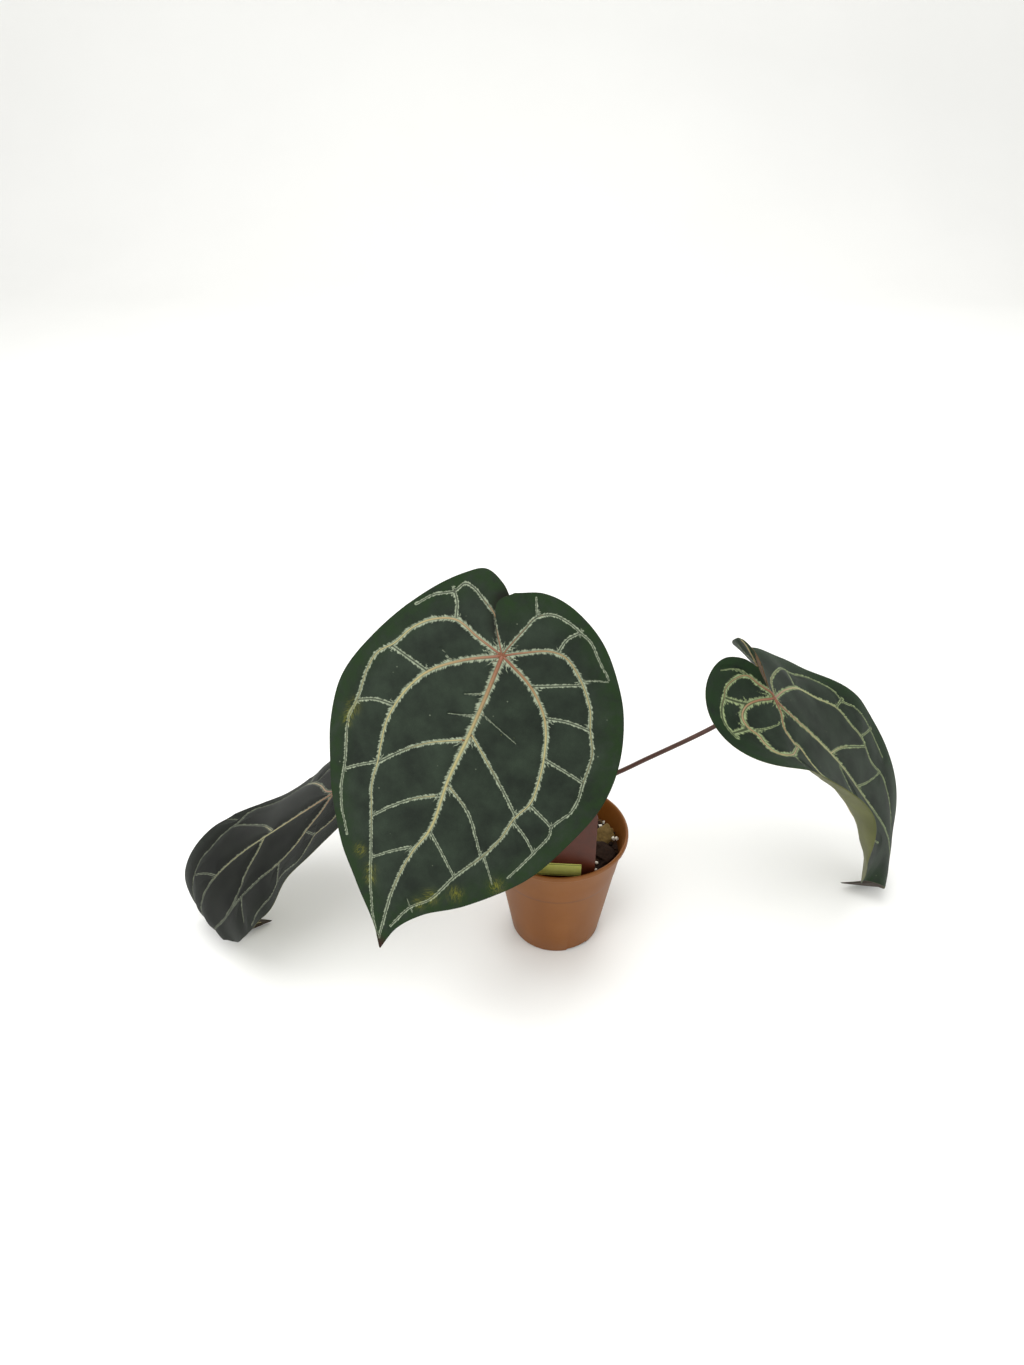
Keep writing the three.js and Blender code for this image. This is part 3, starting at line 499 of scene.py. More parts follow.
def tube(centres, radii, sides):
    """A round tube along centres, closed at both ends, with no twist."""
    along = unit(np.gradient(centres, axis=0))
    across = unit(np.cross(along[0], (0.1, 1, 0.2)))
    turn = np.linspace(0, 2 * math.pi, sides, endpoint=False)[:, None]
    rings = []
    for centre, direction, radius in zip(centres, along, radii):
        across = unit(across - direction * across.dot(direction))
        rings.append(centre + radius * (np.cos(turn) * across + np.sin(turn) * np.cross(direction, across)))
    last = (len(centres) - 1) * sides
    caps = [tuple(range(sides))[::-1], tuple(range(last, last + sides))]
    return list(np.vstack(rings)), grid_faces(len(centres), sides, closed=True) + caps


def smoothstep(low, high, value):
    """0 below low, 1 above high, and a soft rise between."""
    t = np.clip((np.asarray(value, float) - low) / (high - low), 0, 1)
    return t * t * (3 - 2 * t)


# Petiole skin: dark red-brown and satin, in long streaks 2 mm apart, with fine pale flecks of the same size.

petiole_skin, add, skin, toned = fibrous_finish(
    "satin_petiole_skin", "#2b1613", "#5c3a2c", 2, (0.25, 1, 0.4), {"Detail": 3}, 0.25, 0.4,
    Roughness=0.42, IOR=1.45)
flecks = add("TexVoronoi", {"Vector": add("TexCoord").outputs["Object"], "Scale": 1000 / 2.08})
fleck = add("MapRange", {"Value": flecks, "From Min": 0.05, "From Max": 0.16, "To Min": 0.5, "To Max": 0})
feed(skin, {"Base Color": add("MixRGB", {"Fac": fleck, "Color1": toned, "Color2": "#8a6a4e"})})

for side, route in STALKS.items():
    centres = curve_through(route, STALK_STEPS)
    run = run_along(centres)
    to_end = run[-1] - run
    radii = (STALK_RADIUS + FOOT_SWELL * (1 - smoothstep(12, 70, run))
             + KNEE_SWELL * (1 - smoothstep(8, 22, to_end)) - END_TAPER * (1 - smoothstep(0, 3, to_end)))
    stalk = new_piece(f"petiole_{side}", *tube(centres, radii, STALK_SIDES), petiole_skin)
    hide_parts(f"petiole_{side}")

# Leaf blades: heart-shaped velvety blades, about half a millimetre thick, with sunken silvery veins above and
# raised ones below. A blade is laid out flat first: u runs in millimetres along the midrib from the stalk to
# the tip, with the basal lobes at negative u, and v runs across it, positive on its left seen from above.
# Stations along u say how it hangs: the midrib's heading, rise and roll, then the fold beside the midrib
# and the curl towards the edge, each for the left and the right half, in degrees.

ARCH_WIDTH = 100
TOP_COLUMNS = 104
UNDER_COLUMNS = 34
LEAF_ROWS = 290
SINUS_ROWS = LEAF_ROWS // 6
BLADE_THICKNESS = 0.6
BLADE_WELD = 0.002
LOBE_DEPTH = 30
MARGIN_WIDTH = 25
# The share of the width from which a blade thins to its edge, and how much it thins
EDGE_START = 0.9
EDGE_THINNING = 0.5
# How deep a vein lies, how high the skin is quilted from some way off, and the height and lengths of waves
VEIN_DEPTH = 0.35
QUILT_HEIGHT = 0.9
QUILT_REACH = 7
BROAD_WAVES = (0.9, 23, 19)
SHORT_WAVES = (0.4, 9, 13)
# How a vein narrows along its run, and how far it reaches past its close points
VEIN_TAPER = 0.8
VEIN_OVERRUN = 0.6
# The painted shadow along the edge of the lobe that lies on top: its strength, its width and where it starts
# and is full
LOBE_SHADE = {"strength": 0.8, "width": 5, "span": (3, 12)}
CURVE_STEPS = 160
# Only veins of this half-width stand out below; their cords' radii are shares of the half-width
RIB_LEAST = 2
RIB_SHARES = (0.36, 0.3)
RIB_SINK = 0.25
RIB_STEPS = 60
RIB_SIDES = 6
HALVES = {1: "left_half", -1: "right_half"}
VELVET, UNDERSIDE, RIB = range(3)
BLADE_MARKS = (
    "flat_u", "flat_v", "vein_away", "vein_side", "vein_run", "vein_warmth", "shaded", "margin", "yellow",
    "from_tip",
)


class Blade:
    """The middle surface of a hanging leaf, as a place in space for each flat place (u, v)."""

    def __init__(self, junction, stations, lift):
        table = np.array(stations, float)
        self.u, self.rows, self.lift = table[:, 0], table[:, 1:], lift
        step = np.diff(self.u)[:, None]
        secant = np.diff(self.rows, axis=0) / step
        before, after, h0, h1 = secant[:-1], secant[1:], step[:-1], step[1:]
        with np.errstate(divide="ignore", invalid="ignore"):
            inner = 3 * (h0 + h1) / ((2 * h1 + h0) / before + (h1 + 2 * h0) / after)
        self.slopes = np.vstack([secant[:1], np.where(before * after > 0, inner, 0), secant[-1:]])
        self.marks = np.arange(self.u[0], self.u[-1] + 0.5)
        along = self.frame(self.marks[:-1] + 0.5)[0]
        path = np.vstack([np.zeros(3), np.cumsum(along, axis=0)])
        self.midrib = path - path[round(-self.u[0])] + junction

    def station(self, u):
        """The station's angles at u, on a smooth curve that never overshoots the table."""
        u = np.clip(u, self.u[0], self.u[-1])
        i = np.clip(np.searchsorted(self.u, u, side="right") - 1, 0, len(self.u) - 2)
        span = (self.u[i + 1] - self.u[i])[..., None]
        t = (u - self.u[i])[..., None] / span
        return ((2 * t**3 - 3 * t**2 + 1) * self.rows[i] + (t**3 - 2 * t**2 + t) * span * self.slopes[i]
                + (3 * t**2 - 2 * t**3) * self.rows[i + 1] + (t**3 - t**2) * span * self.slopes[i + 1])

    def frame(self, u):
        """The directions along, across and up from the midrib at u, and the folds and curls there."""
        angles = self.station(u)
        azimuth, rise, roll = (np.radians(angles[..., k]) for k in range(3))
        flat_way = np.cos(rise)
        along = np.stack([flat_way * np.cos(azimuth), flat_way * np.sin(azimuth), np.sin(rise)], axis=-1)
        level = np.stack([-np.sin(azimuth), np.cos(azimuth), 0 * azimuth], axis=-1)
        c, s = np.cos(roll)[..., None], np.sin(roll)[..., None]
        upright = np.cross(along, level)
        return along, c * level + s * upright, c * upright - s * level, angles[..., 3:]

    def place(self, flat, side):
        """The place in space of flat places on one half, 1 for the left half and -1 for the right."""
        u, v = flat[..., 0], flat[..., 1]
        _, across, up, section = self.frame(u)
        centre = np.stack([np.interp(u, self.marks, axis) for axis in self.midrib.T], axis=-1)
        half = 0 if side > 0 else 1
        fold, curl = np.radians(section[..., half]), np.radians(section[..., half + 2])
        curl = np.where(np.abs(curl) < 1e-4, 1e-4, curl)
        angle = fold + curl * v * side / ARCH_WIDTH
        reach = ARCH_WIDTH / curl * (np.sin(angle) - np.sin(fold))
        drop = ARCH_WIDTH / curl * (np.cos(fold) - np.cos(angle))
        lift = self.lift[half] * smoothstep(0, LOBE_DEPTH, -u)
        return centre + (side * reach)[..., None] * across + (lift - drop)[..., None] * up


def outer_edge(leaf, side, count):
    """The flat edge of a half blade, from the end of its sinus round to the tip."""
    half = leaf[HALVES[side]]
    return curve_through([half["sinus"][-1], *half["margin"], (leaf["stations"][-1][0], 0)], count)


def half_layout(leaf, side, columns):
    """Flat places of a half blade, in rows that run from the sinus edge and the midrib out to the margin."""
    sinus = curve_through(leaf[HALVES[side]]["sinus"][::-1], SINUS_ROWS + 1)[:-1]
    midrib = np.linspace((0, 0), (leaf["stations"][-1][0], 0), LEAF_ROWS - SINUS_ROWS)
    inner, outer = np.vstack([sinus, midrib]), outer_edge(leaf, side, LEAF_ROWS)
    share = np.linspace(0, 1, columns)[None, :, None]
    return inner[:, None] * (1 - share) + outer[:, None] * share


def vein_layout(veins):
    """Close points along every vein: place, direction, half-width, run from the vein's start, and warmth."""
    samples = []
    for path, start_width, end_width, warm_run in veins:
        length = run_along(np.array(path, float))[-1]
        points = curve_through(path, max(6, int(length)))
        run = np.linspace(0, length, len(points))
        width = start_width + (end_width - start_width) * (run / length) ** VEIN_TAPER
        warmth = np.clip(1 - run / warm_run, 0, 1) if warm_run else 0 * run
        samples.append(np.column_stack([points, unit(np.gradient(points, axis=0)), width, run, warmth]))
    return np.vstack(samples)


def squares(places, points):
    """The squared distance from each place to each point, for a few thousand places at a time."""
    for few in np.array_split(places, max(1, len(places) // 4000)):
        yield few, (few**2).sum(1)[:, None] + (points**2).sum(1)[None] - 2 * few @ points.T


def vein_field(places, samples):
    """For flat places: the distance to the nearest vein in its half-widths, the same with a sign for the side
    that it lies on, the run along that vein, its warmth and its half-width."""
    result = []
    for few, square in squares(places, samples[:, :2]):
        found = samples[(square / samples[:, 4]**2).argmin(1)]
        width = found[:, 4]
        offset = few - found[:, :2]
        aside = found[:, 2] * offset[:, 1] - found[:, 3] * offset[:, 0]
        ahead = (offset * found[:, 2:4]).sum(1)
        away = np.hypot(aside, np.maximum(np.abs(ahead) - VEIN_OVERRUN, 0)) / width
        result.append(np.column_stack([away, aside / width, found[:, 5] + ahead, found[:, 6], width]))
    return np.vstack(result)


def margin_share(places, leaf):
    """How near flat places lie to the leaf's margin: 1 on it, 0 from MARGIN_WIDTH in."""
    points = np.vstack([outer_edge(leaf, side, CURVE_STEPS) for side in HALVES])
    nearest = [np.sqrt(np.maximum(square.min(1), 0)) for _, square in squares(places, points)]
    return 1 - smoothstep(0, MARGIN_WIDTH, np.concatenate(nearest))


def lobe_shade(places, leaf):
    """How much painted shadow the left lobe, which lies over the right one, casts on the right one by its edge.
    """
    over = curve_through(leaf["left_half"]["sinus"], 60)
    near = np.linalg.norm(places[:, None] - over[None], axis=2).min(1)
    fading = np.exp(-((near / LOBE_SHADE["width"]) ** 2))
    return LOBE_SHADE["strength"] * fading * smoothstep(*LOBE_SHADE["span"], -places[:, 0])


def relief(flat, field, seed):
    """How far the blade stands off its middle surface: quilted between sunken veins, and gently waved."""
    (u, v), away, width = np.moveaxis(flat, -1, 0), field[..., 0], field[..., 4]
    sunken = -VEIN_DEPTH * width**0.5 * np.exp(-((away / 0.9) ** 2))
    quilted = QUILT_HEIGHT * (1 - np.exp(-((away * width / QUILT_REACH) ** 2)))
    height, by_u, by_v = BROAD_WAVES
    waves = height * np.sin(u / by_u + seed) * np.sin(v / by_v + 2 * seed)
    height, by_u, by_v = SHORT_WAVES
    waves += height * np.sin(u / by_u + v / by_v + 3 * seed)
    return sunken + quilted + waves * smoothstep(10, 70, np.abs(v))


def blade_skin(leaf, blade, samples, columns, offset):
    """One face of a blade, above or below its middle: each half's side, flat places, vein field and places."""
    flats = {side: half_layout(leaf, side, columns) for side in HALVES}
    grids = {side: blade.place(flat, side) for side, flat in flats.items()}
    up = {side: unit(np.cross(np.gradient(grid, axis=0), np.gradient(grid, axis=1))) * side
          for side, grid in grids.items()}
    # The two halves stand off the same way along the midrib, so that they meet there
    up[1][SINUS_ROWS:, 0] = up[-1][SINUS_ROWS:, 0] = unit(up[1][:, 0] + up[-1][:, 0])[SINUS_ROWS:]
    thin = BLADE_THICKNESS * (1 - EDGE_THINNING * smoothstep(EDGE_START, 1, np.linspace(0, 1, columns)))
    for side, flat in flats.items():
        field = vein_field(flat.reshape(-1, 2), samples).reshape(LEAF_ROWS, columns, 5)
        height = relief(flat, field, leaf["seed"]) + offset * thin
        yield side, flat, field, grids[side] + up[side] * height[..., None]


def blade_mesh(name, leaf, finishes):
    """Builds a leaf: a fine upper face, a coarser under face, the edge between them and the ribs below."""
    blade = Blade(leaf["junction"], leaf["stations"], leaf.get("lift", (0, 0)))
    samples = vein_layout(leaf["veins"])
    vertices, faces, slots, marks, starts = [], [], [], [], {}
    for columns, offset in ((TOP_COLUMNS, 0.5), (UNDER_COLUMNS, -0.5)):
        for side, flat, field, placed in blade_skin(leaf, blade, samples, columns, offset):
            starts[offset, side] = len(vertices)
            faces += grid_faces(LEAF_ROWS, columns, len(vertices))
            vertices += list(placed.reshape(-1, 3))
            u, v = flat[:-1, :-1].reshape(-1, 2).T
            # Velvet lies above, and also below where a folded lobe shows its upper side
            before, slope, beyond = leaf.get("folded_lobe", (-math.inf, 0, 0))
            velvet = (offset > 0) | ((side > 0) & (u < before - slope * v) & (v > beyond))
            slots += np.where(velvet, VELVET, UNDERSIDE).tolist()
            places = flat.reshape(-1, 2)
            shaded = lobe_shade(places, leaf) if offset > 0 > side and "lift" in leaf else np.zeros(len(places))
            marks.append(np.column_stack([places, field.reshape(-1, 5)[:, :4], shaded]))
    for side in HALVES:
        for i in range(LEAF_ROWS - 1):
            a, b = starts[0.5, side] + i * TOP_COLUMNS, starts[-0.5, side] + i * UNDER_COLUMNS
            c, d = a + TOP_COLUMNS - 1, b + UNDER_COLUMNS - 1
            faces.append((c, c + TOP_COLUMNS, d + UNDER_COLUMNS, d))
            if i < SINUS_ROWS:
                faces.append((a, b, b + UNDER_COLUMNS, a + TOP_COLUMNS))
    slots += [UNDERSIDE] * (len(faces) - len(slots))
    for path, start_width, end_width, _ in leaf["veins"]:
        if start_width < RIB_LEAST:
            continue
        points = curve_through(path, RIB_STEPS)
        side = 1 if points[:, 1].mean() > 0 else -1
        ahead, aside = (blade.place(points + step, side) - blade.place(points - step, side)
                        for step in ((0.5, 0), (0, 0.5)))
        field = vein_field(points, samples)
        stand = (relief(points, field, leaf["seed"]) - RIB_SINK)[:, None]
        radii = np.linspace(RIB_SHARES[0] * start_width, RIB_SHARES[1] * end_width, RIB_STEPS)
        rib = tube(blade.place(points, side) + unit(np.cross(ahead, aside)) * stand, radii, RIB_SIDES)
        vertices, faces = heap([(vertices, faces), rib])
        marks.append(np.repeat(np.column_stack([points, field[:, :4], np.zeros(RIB_STEPS)]), RIB_SIDES, axis=0))
    slots += [RIB] * (len(faces) - len(slots))
    marks = np.vstack(marks)
    u, v = marks[:, :2].T
    yellow = np.zeros(len(marks))
    for at_u, at_v, radius in leaf["yellowing"]:
        yellow = np.maximum(yellow, np.exp(-((u - at_u) ** 2 + (v - at_v) ** 2) / radius**2))
    marks = [*marks.T, margin_share(marks[:, :2], leaf), yellow, leaf["stations"][-1][0] - u]
    return new_piece(name, vertices, faces, *finishes, sharp=None, weld=BLADE_WELD, slots=slots,
                     marks=zip(BLADE_MARKS, marks))


def velvet_blade(name, shade, lit, edge_green, pale, warm, ruddy):
    """The upper skin of a blade: velvet between the veins, and a silvery fringed band along each of them."""
    material, add, skin = new_finish(name)
    u, v, away, side, run, warmth, shaded, margin, yellow, from_tip = (
        add("Attribute", attribute_name=label).outputs["Fac"] for label in BLADE_MARKS)
    flat = add("CombineXYZ", {"X": u, "Y": v})

    # The band's reach: the signed distance is exact near a vein, and the plain one rules it out elsewhere
    across = add("Math", {0: side}, operation="ABSOLUTE")
    beyond = add("Math", {0: away, 1: 0.9}, operation="SUBTRACT")
    reach = add("Math", {0: across, 1: beyond}, operation="MAXIMUM")
    # Its fringe: hairs of pale tissue, under 1 mm apart on the leaf and drawn 2 mm apart so that they show
    leaning = add("Math", {0: away, 1: -1.6, 2: run}, operation="MULTIPLY_ADD")
    hair_place = add("CombineXYZ", {"X": leaning, "Y": side})
    hair_scale = add("Mapping", {"Vector": hair_place, "Scale": (0.55, 0.45, 1)})
    hair_noise = add("TexNoise", {"Vector": hair_scale, "Scale": 1, "Detail": 3, "Roughness": 0.75})
    hairs = add("MapRange", {"Value": hair_noise, "From Min": 0.36, "From Max": 0.66})
    ragged = add("TexNoise", {"Vector": flat, "Scale": 1 / 7.7, "Detail": 3})
    frayed = add("Math", {0: hairs, 1: -0.7, 2: reach}, operation="MULTIPLY_ADD")
    uneven = add("Math", {0: ragged, 1: 0.5, 2: frayed}, operation="MULTIPLY_ADD")
    cord_edge = add("Math", {0: warmth, 1: 0.07, 2: 0.06}, operation="MULTIPLY_ADD")
    cord_rest = add("Math", {0: reach, 1: cord_edge}, operation="SUBTRACT")
    # Soft steps down from the middle of a vein, of the tip's brown and of the cord's height: where each starts
    # and ends, and its share at the start
    band, groove_shade, warm_cord, at_tip, cord = (
        add("MapRange", {"Value": value, "From Min": start, "From Max": end, "To Min": share, "To Max": 0},
            interpolation_type="SMOOTHSTEP")
        for value, start, end, share in (
            (uneven, 0.4, 0.85, 1), (reach, 0.16, 0.42, 0.8), (cord_rest, 0, 0.1, 1), (from_tip, 3, 13, 1),
            (reach, 0, 0.3, 1)))

    # Velvet: mottled in patches of 3 cm, with a nap of 0.8 mm, greener towards the margin, with pale specks
    # 14 mm apart. The places are in millimetres, so a pattern's scale is one over the size of its cells
    clouds = add("TexNoise", {"Vector": flat, "Scale": 1 / 28.6, "Detail": 4, "Roughness": 0.6})
    mottle = add("MapRange", {"Value": clouds, "From Min": 0.35, "From Max": 0.68})
    nap = add("TexNoise", {"Vector": flat, "Scale": 1 / 0.77, "Detail": 3, "Roughness": 0.7})
    streaked_edge = add("MapRange", {"Value": ragged, "From Min": 0.25, "From Max": 0.6})
    green_share = add("Math", {0: margin, 1: streaked_edge}, operation="MULTIPLY")
    specks = add("TexVoronoi", {"Vector": flat, "Scale": 1 / 14.3})
    speck = add("MapRange", {"Value": specks, "From Min": 0.02, "From Max": 0.05, "To Min": 0.35, "To Max": 0})
    velvet = add("MixRGB", {"Fac": mottle, "Color1": shade, "Color2": lit})
    napped = add("MixRGB", {"Fac": 0.3, "Color1": velvet, "Color2": nap}, blend_type="OVERLAY")

    # The band: silvery and streaked across, with painted shade in its sunken groove, and in it a cord that is
    # warm near the stalk
    streaked = add("MapRange", {"Value": hairs, "To Min": 0.55})
    warmer = add("MapRange", {"Value": warmth, "From Max": 0.3})
    warmed = add("Math", {0: warm_cord, 1: warmer}, operation="MULTIPLY")
    by_stalk = add("MapRange", {"Value": warmth, "From Min": 0.88, "From Max": 1, "To Max": 0.8})
    reddened = add("Math", {0: warmed, 1: by_stalk}, operation="MULTIPLY")
    band_colour = add("MixRGB", {"Fac": streaked, "Color1": edge_green, "Color2": pale})
    for share, colour in ((groove_shade, shade), (warmed, warm), (reddened, ruddy)):
        band_colour = add("MixRGB", {"Fac": share, "Color1": band_colour, "Color2": colour})

    # Over the velvet lie the margin's green, the specks and the bands; then the leaf's age: yellow flecks along
    # some veins and a brown tip; and last a near-black painted shadow where the other lobe lies over it
    flecks = add("MapRange", {"Value": hair_noise, "From Min": 0.42, "From Max": 0.66, "To Max": 0.7})
    yellowed = add("Math", {0: yellow, 1: flecks}, operation="MULTIPLY")
    skin_colour = napped
    for share, colour in ((green_share, edge_green), (speck, pale), (band, band_colour), (yellowed, "#7c7a24"),
                          (at_tip, "#2a1812"), (shaded, "#120f0b")):
        skin_colour = add("MixRGB", {"Fac": share, "Color1": skin_colour, "Color2": colour})

    # Relief: puckered velvet in a net of 6 mm, with the vein's cord standing in its sunken band
    net = add("TexVoronoi", {"Vector": flat, "Scale": 1 / 6.25}, feature="DISTANCE_TO_EDGE")
    puckered = add("Math", {0: net, 1: 0.3, 2: nap}, operation="MULTIPLY_ADD")
    height = add("Math", {0: cord, 1: 1.6, 2: puckered}, operation="MULTIPLY_ADD")
    feed(skin, {
        "Base Color": skin_colour,
        "Normal": add("Bump", {"Height": height, "Strength": 0.3, "Distance": 0.0005}),
        "Roughness": 0.62,
        "Specular IOR Level": 0.12,
        "Sheen Weight": 0.02,
        "Sheen Roughness": 0.4,
        "Sheen Tint": "#9fb39a",
    })
    return material


# Under skin of a blade: smoother and paler, yellow-olive in clouds of 2 cm, browner on the basal lobes, paler
# along the veins and dried brown by the tip, with a fine net of 3 mm.

under_blade, add, skin = new_finish("satin_blade_underside")
u, v, away, from_tip = (add("Attribute", attribute_name=label).outputs["Fac"]
                        for label in ("flat_u", "flat_v", "vein_away", "from_tip"))
flat = add("CombineXYZ", {"X": u, "Y": v})
clouds = add("TexNoise", {"Vector": flat, "Scale": 1 / 20, "Detail": 4})
lobes = add("MapRange", {"Value": u, "From Min": -4, "From Max": -22}, interpolation_type="SMOOTHSTEP")
near_vein = add("MapRange", {"Value": away, "From Min": 0.3, "From Max": 1.2, "To Min": 0.6, "To Max": 0})
dry = add("MapRange", {"Value": from_tip, "From Min": 40, "From Max": 56, "To Min": 0.92, "To Max": 0},
          interpolation_type="SMOOTHSTEP")
toned = add("MixRGB", {"Fac": clouds, "Color1": "#383c18", "Color2": "#5d602e"})
for share, colour in ((lobes, "#5c4426"), (near_vein, "#8d8752"), (dry, "#2c1b12")):
    toned = add("MixRGB", {"Fac": share, "Color1": toned, "Color2": colour})
net = add("TexVoronoi", {"Vector": flat, "Scale": 1 / 3.33}, feature="DISTANCE_TO_EDGE")
feed(skin, {
    "Base Color": toned,
    "Normal": add("Bump", {"Height": net, "Strength": 0.3, "Distance": 0.0005}),
    "Roughness": 0.55,
    "Specular IOR Level": 0.25,
})

# Raised veins below the blade: smooth cords, red-brown at the stalk and straw green further out.

rib_cord, add, skin = new_finish("satin_vein_cord")
u, v = (add("Attribute", attribute_name=label).outputs["Fac"] for label in ("flat_u", "flat_v"))
from_stalk = add("VectorMath", {0: add("CombineXYZ", {"X": u, "Y": v})}, operation="LENGTH")
paler = add("MapRange", {"Value": from_stalk, "From Min": 5, "From Max": 70})
toned = add("MixRGB", {"Fac": paler, "Color1": "#7a4a32", "Color2": "#9a9263"})
feed(skin, {"Base Color": toned, "Roughness": 0.45})

# Front leaf: broad and nearly flat, with its left lobe, seen from above, lying over the right one. Veins are a
# path, the half-width of the pale band at its start and end, and how far it stays warm. Yellowing spots are a
# place and a radius.

FRONT_LEAF = {
    "junction": (-45.9, -63.3, 326),
    "lift": (4, -3),
    "seed": 1.3,
    "stations": [
        (-56, 216, -60, -37, 3, 3, 10, 8), (0, 216, -60.5, -37, 3, 3, 10, 8),
        (120, 216, -62, -37, 3, 4, 12, 12), (245, 216, -65, -37, 3, 4, 12, 12),
    ],
    "left_half": {
        "sinus": [(0, 0), (-8, -5), (-22, -14), (-34, -17), (-44, -9)],
        "margin": [(-52, 9), (-52, 27), (-43, 51), (-28, 70), (2, 92), (42, 106), (74, 107), (110, 97),
        (148, 79),
                   (184, 47), (205, 20), (224, 6)],
    },
    "right_half": {
        "sinus": [(0, 0), (-14, -2), (-28, -4), (-37, -10)],
        "margin": [(-45, -20), (-49, -35), (-40, -48), (-14, -70), (26, -92), (72, -106), (104, -101),
        (140, -86),
                   (172, -66), (205, -35), (226, -14)],
    },
    "yellowing": [(84, -87, 5), (91, -88, 4), (96, -88, 4), (180, -41, 4), (190, -28, 4), (197, -26, 4),
                  (178, 37, 5), (188, 21, 5), (197, 15, 4), (160, 62, 5)],
    "veins": [
        ([(0, 0), (34, 1), (61, 1), (99, 0), (138, 2), (162, -4), (194, -7), (235, -4)], 4.6, 1.3, 170),
        ([(0, 0), (16, -25), (35, -45), (56, -55), (80, -59), (99, -57), (113, -54), (129, -52), (152, -43),
          (177, -33), (197, -26), (225, -13), (234, -7)], 3.4, 1.2, 75),
        ([(0, 0), (-4, -21), (-8, -40), (0, -57), (12, -68), (28, -76), (39, -85), (55, -88), (78, -87),
          (94, -88), (110, -84), (129, -78), (145, -74), (160, -67), (173, -57)], 3, 1.3, 45),
        ([(0, 0), (-12, -9), (-23, -17), (-28, -27), (-33, -38), (-33, -45), (-25, -50), (-16, -63), (-6, -71)],
         2.4, 1.2, 34),
        ([(0, 0), (3, 8), (10, 24), (19, 36), (31, 46), (50, 54), (73, 59), (90, 60), (105, 54), (124, 51),
          (143, 44), (165, 32), (191, 21), (203, 10), (222, 2)], 3.3, 1.2, 60),
        ([(0, 0), (-8, 12), (-17, 28), (-18, 39), (-12, 50), (-3, 60), (9, 70), (22, 76), (39, 85), (61, 88),
          (75, 90), (85, 89), (101, 81), (108, 82), (125, 77), (149, 68)], 2.8, 1.1, 36),
        ([(0, 0), (-5, 1), (-24, 7), (-35, 11), (-41, 20), (-41, 32), (-38, 42), (-35, 51), (-27, 60),
          (-17, 72)],
         2.2, 0.9, 10),
        ([(-25, -50), (-19, -45), (-10, -41)], 1.7, 1.7, 0),
        ([(30, -77), (32, -61), (34, -46)], 1.9, 2.2, 0),
        ([(78, -86), (71, -73), (68, -58)], 1.7, 2, 0),
        ([(130, -76), (123, -68), (113, -55)], 1.3, 1.6, 0),
        ([(67, -2), (81, -24), (95, -39), (112, -53)], 2.4, 1.6, 12),
        ([(114, -4), (123, -17), (137, -31), (152, -43)], 2, 1.3, 0),
        ([(159, -7), (169, -19), (180, -30)], 1.6, 1.1, 0),
        ([(-38, 42), (-30, 36), (-19, 34)], 1.5, 1.5, 0),
        ([(-36, 11), (-46, 6)], 1.3, 0.8, 0),
        ([(-8, 58), (-12, 66), (-14, 72)], 1, 0.6, 0),
        ([(11, 27), (3, 43), (-4, 57)], 1.8, 1.5, 0),
        ([(28, 44), (24, 60), (23, 76)], 1.8, 1.6, 0),
        ([(55, 56), (58, 73), (61, 88)], 1.7, 1.5, 0),
        ([(91, 60), (97, 73), (101, 81)], 1.6, 1.4, 0),
        ([(108, 55), (116, 67), (125, 77)], 1.5, 1.1, 0),
        ([(61, 3), (74, 20), (86, 35), (103, 54)], 2.3, 1.5, 12),
        ([(103, 3), (116, 23), (143, 43)], 2, 1.2, 0),
        ([(140, 2), (152, 16), (166, 31)], 1.6, 1.1, 0),
        ([(143, 46), (159, 58)], 1.1, 0.7, 0),
        ([(47, -1), (51, -10), (54, -18)], 0.8, 0.3, 0),
        ([(31, -3), (36, -13)], 0.7, 0.3, 0),
        ([(43, 3), (48, 17), (53, 33)], 0.5, 0.3, 0),
        ([(19, -29), (18, -34), (14, -42)], 0.6, 0.2, 0),
        ([(47, -50), (52, -56)], 0.7, 0.4, 0),
        ([(205, 12), (198, 6)], 0.5, 0.3, 0),
    ],
}

# Right leaf: long and arching down to the surface, its far lobe folded up with the velvet out and its tip bent
# back under.

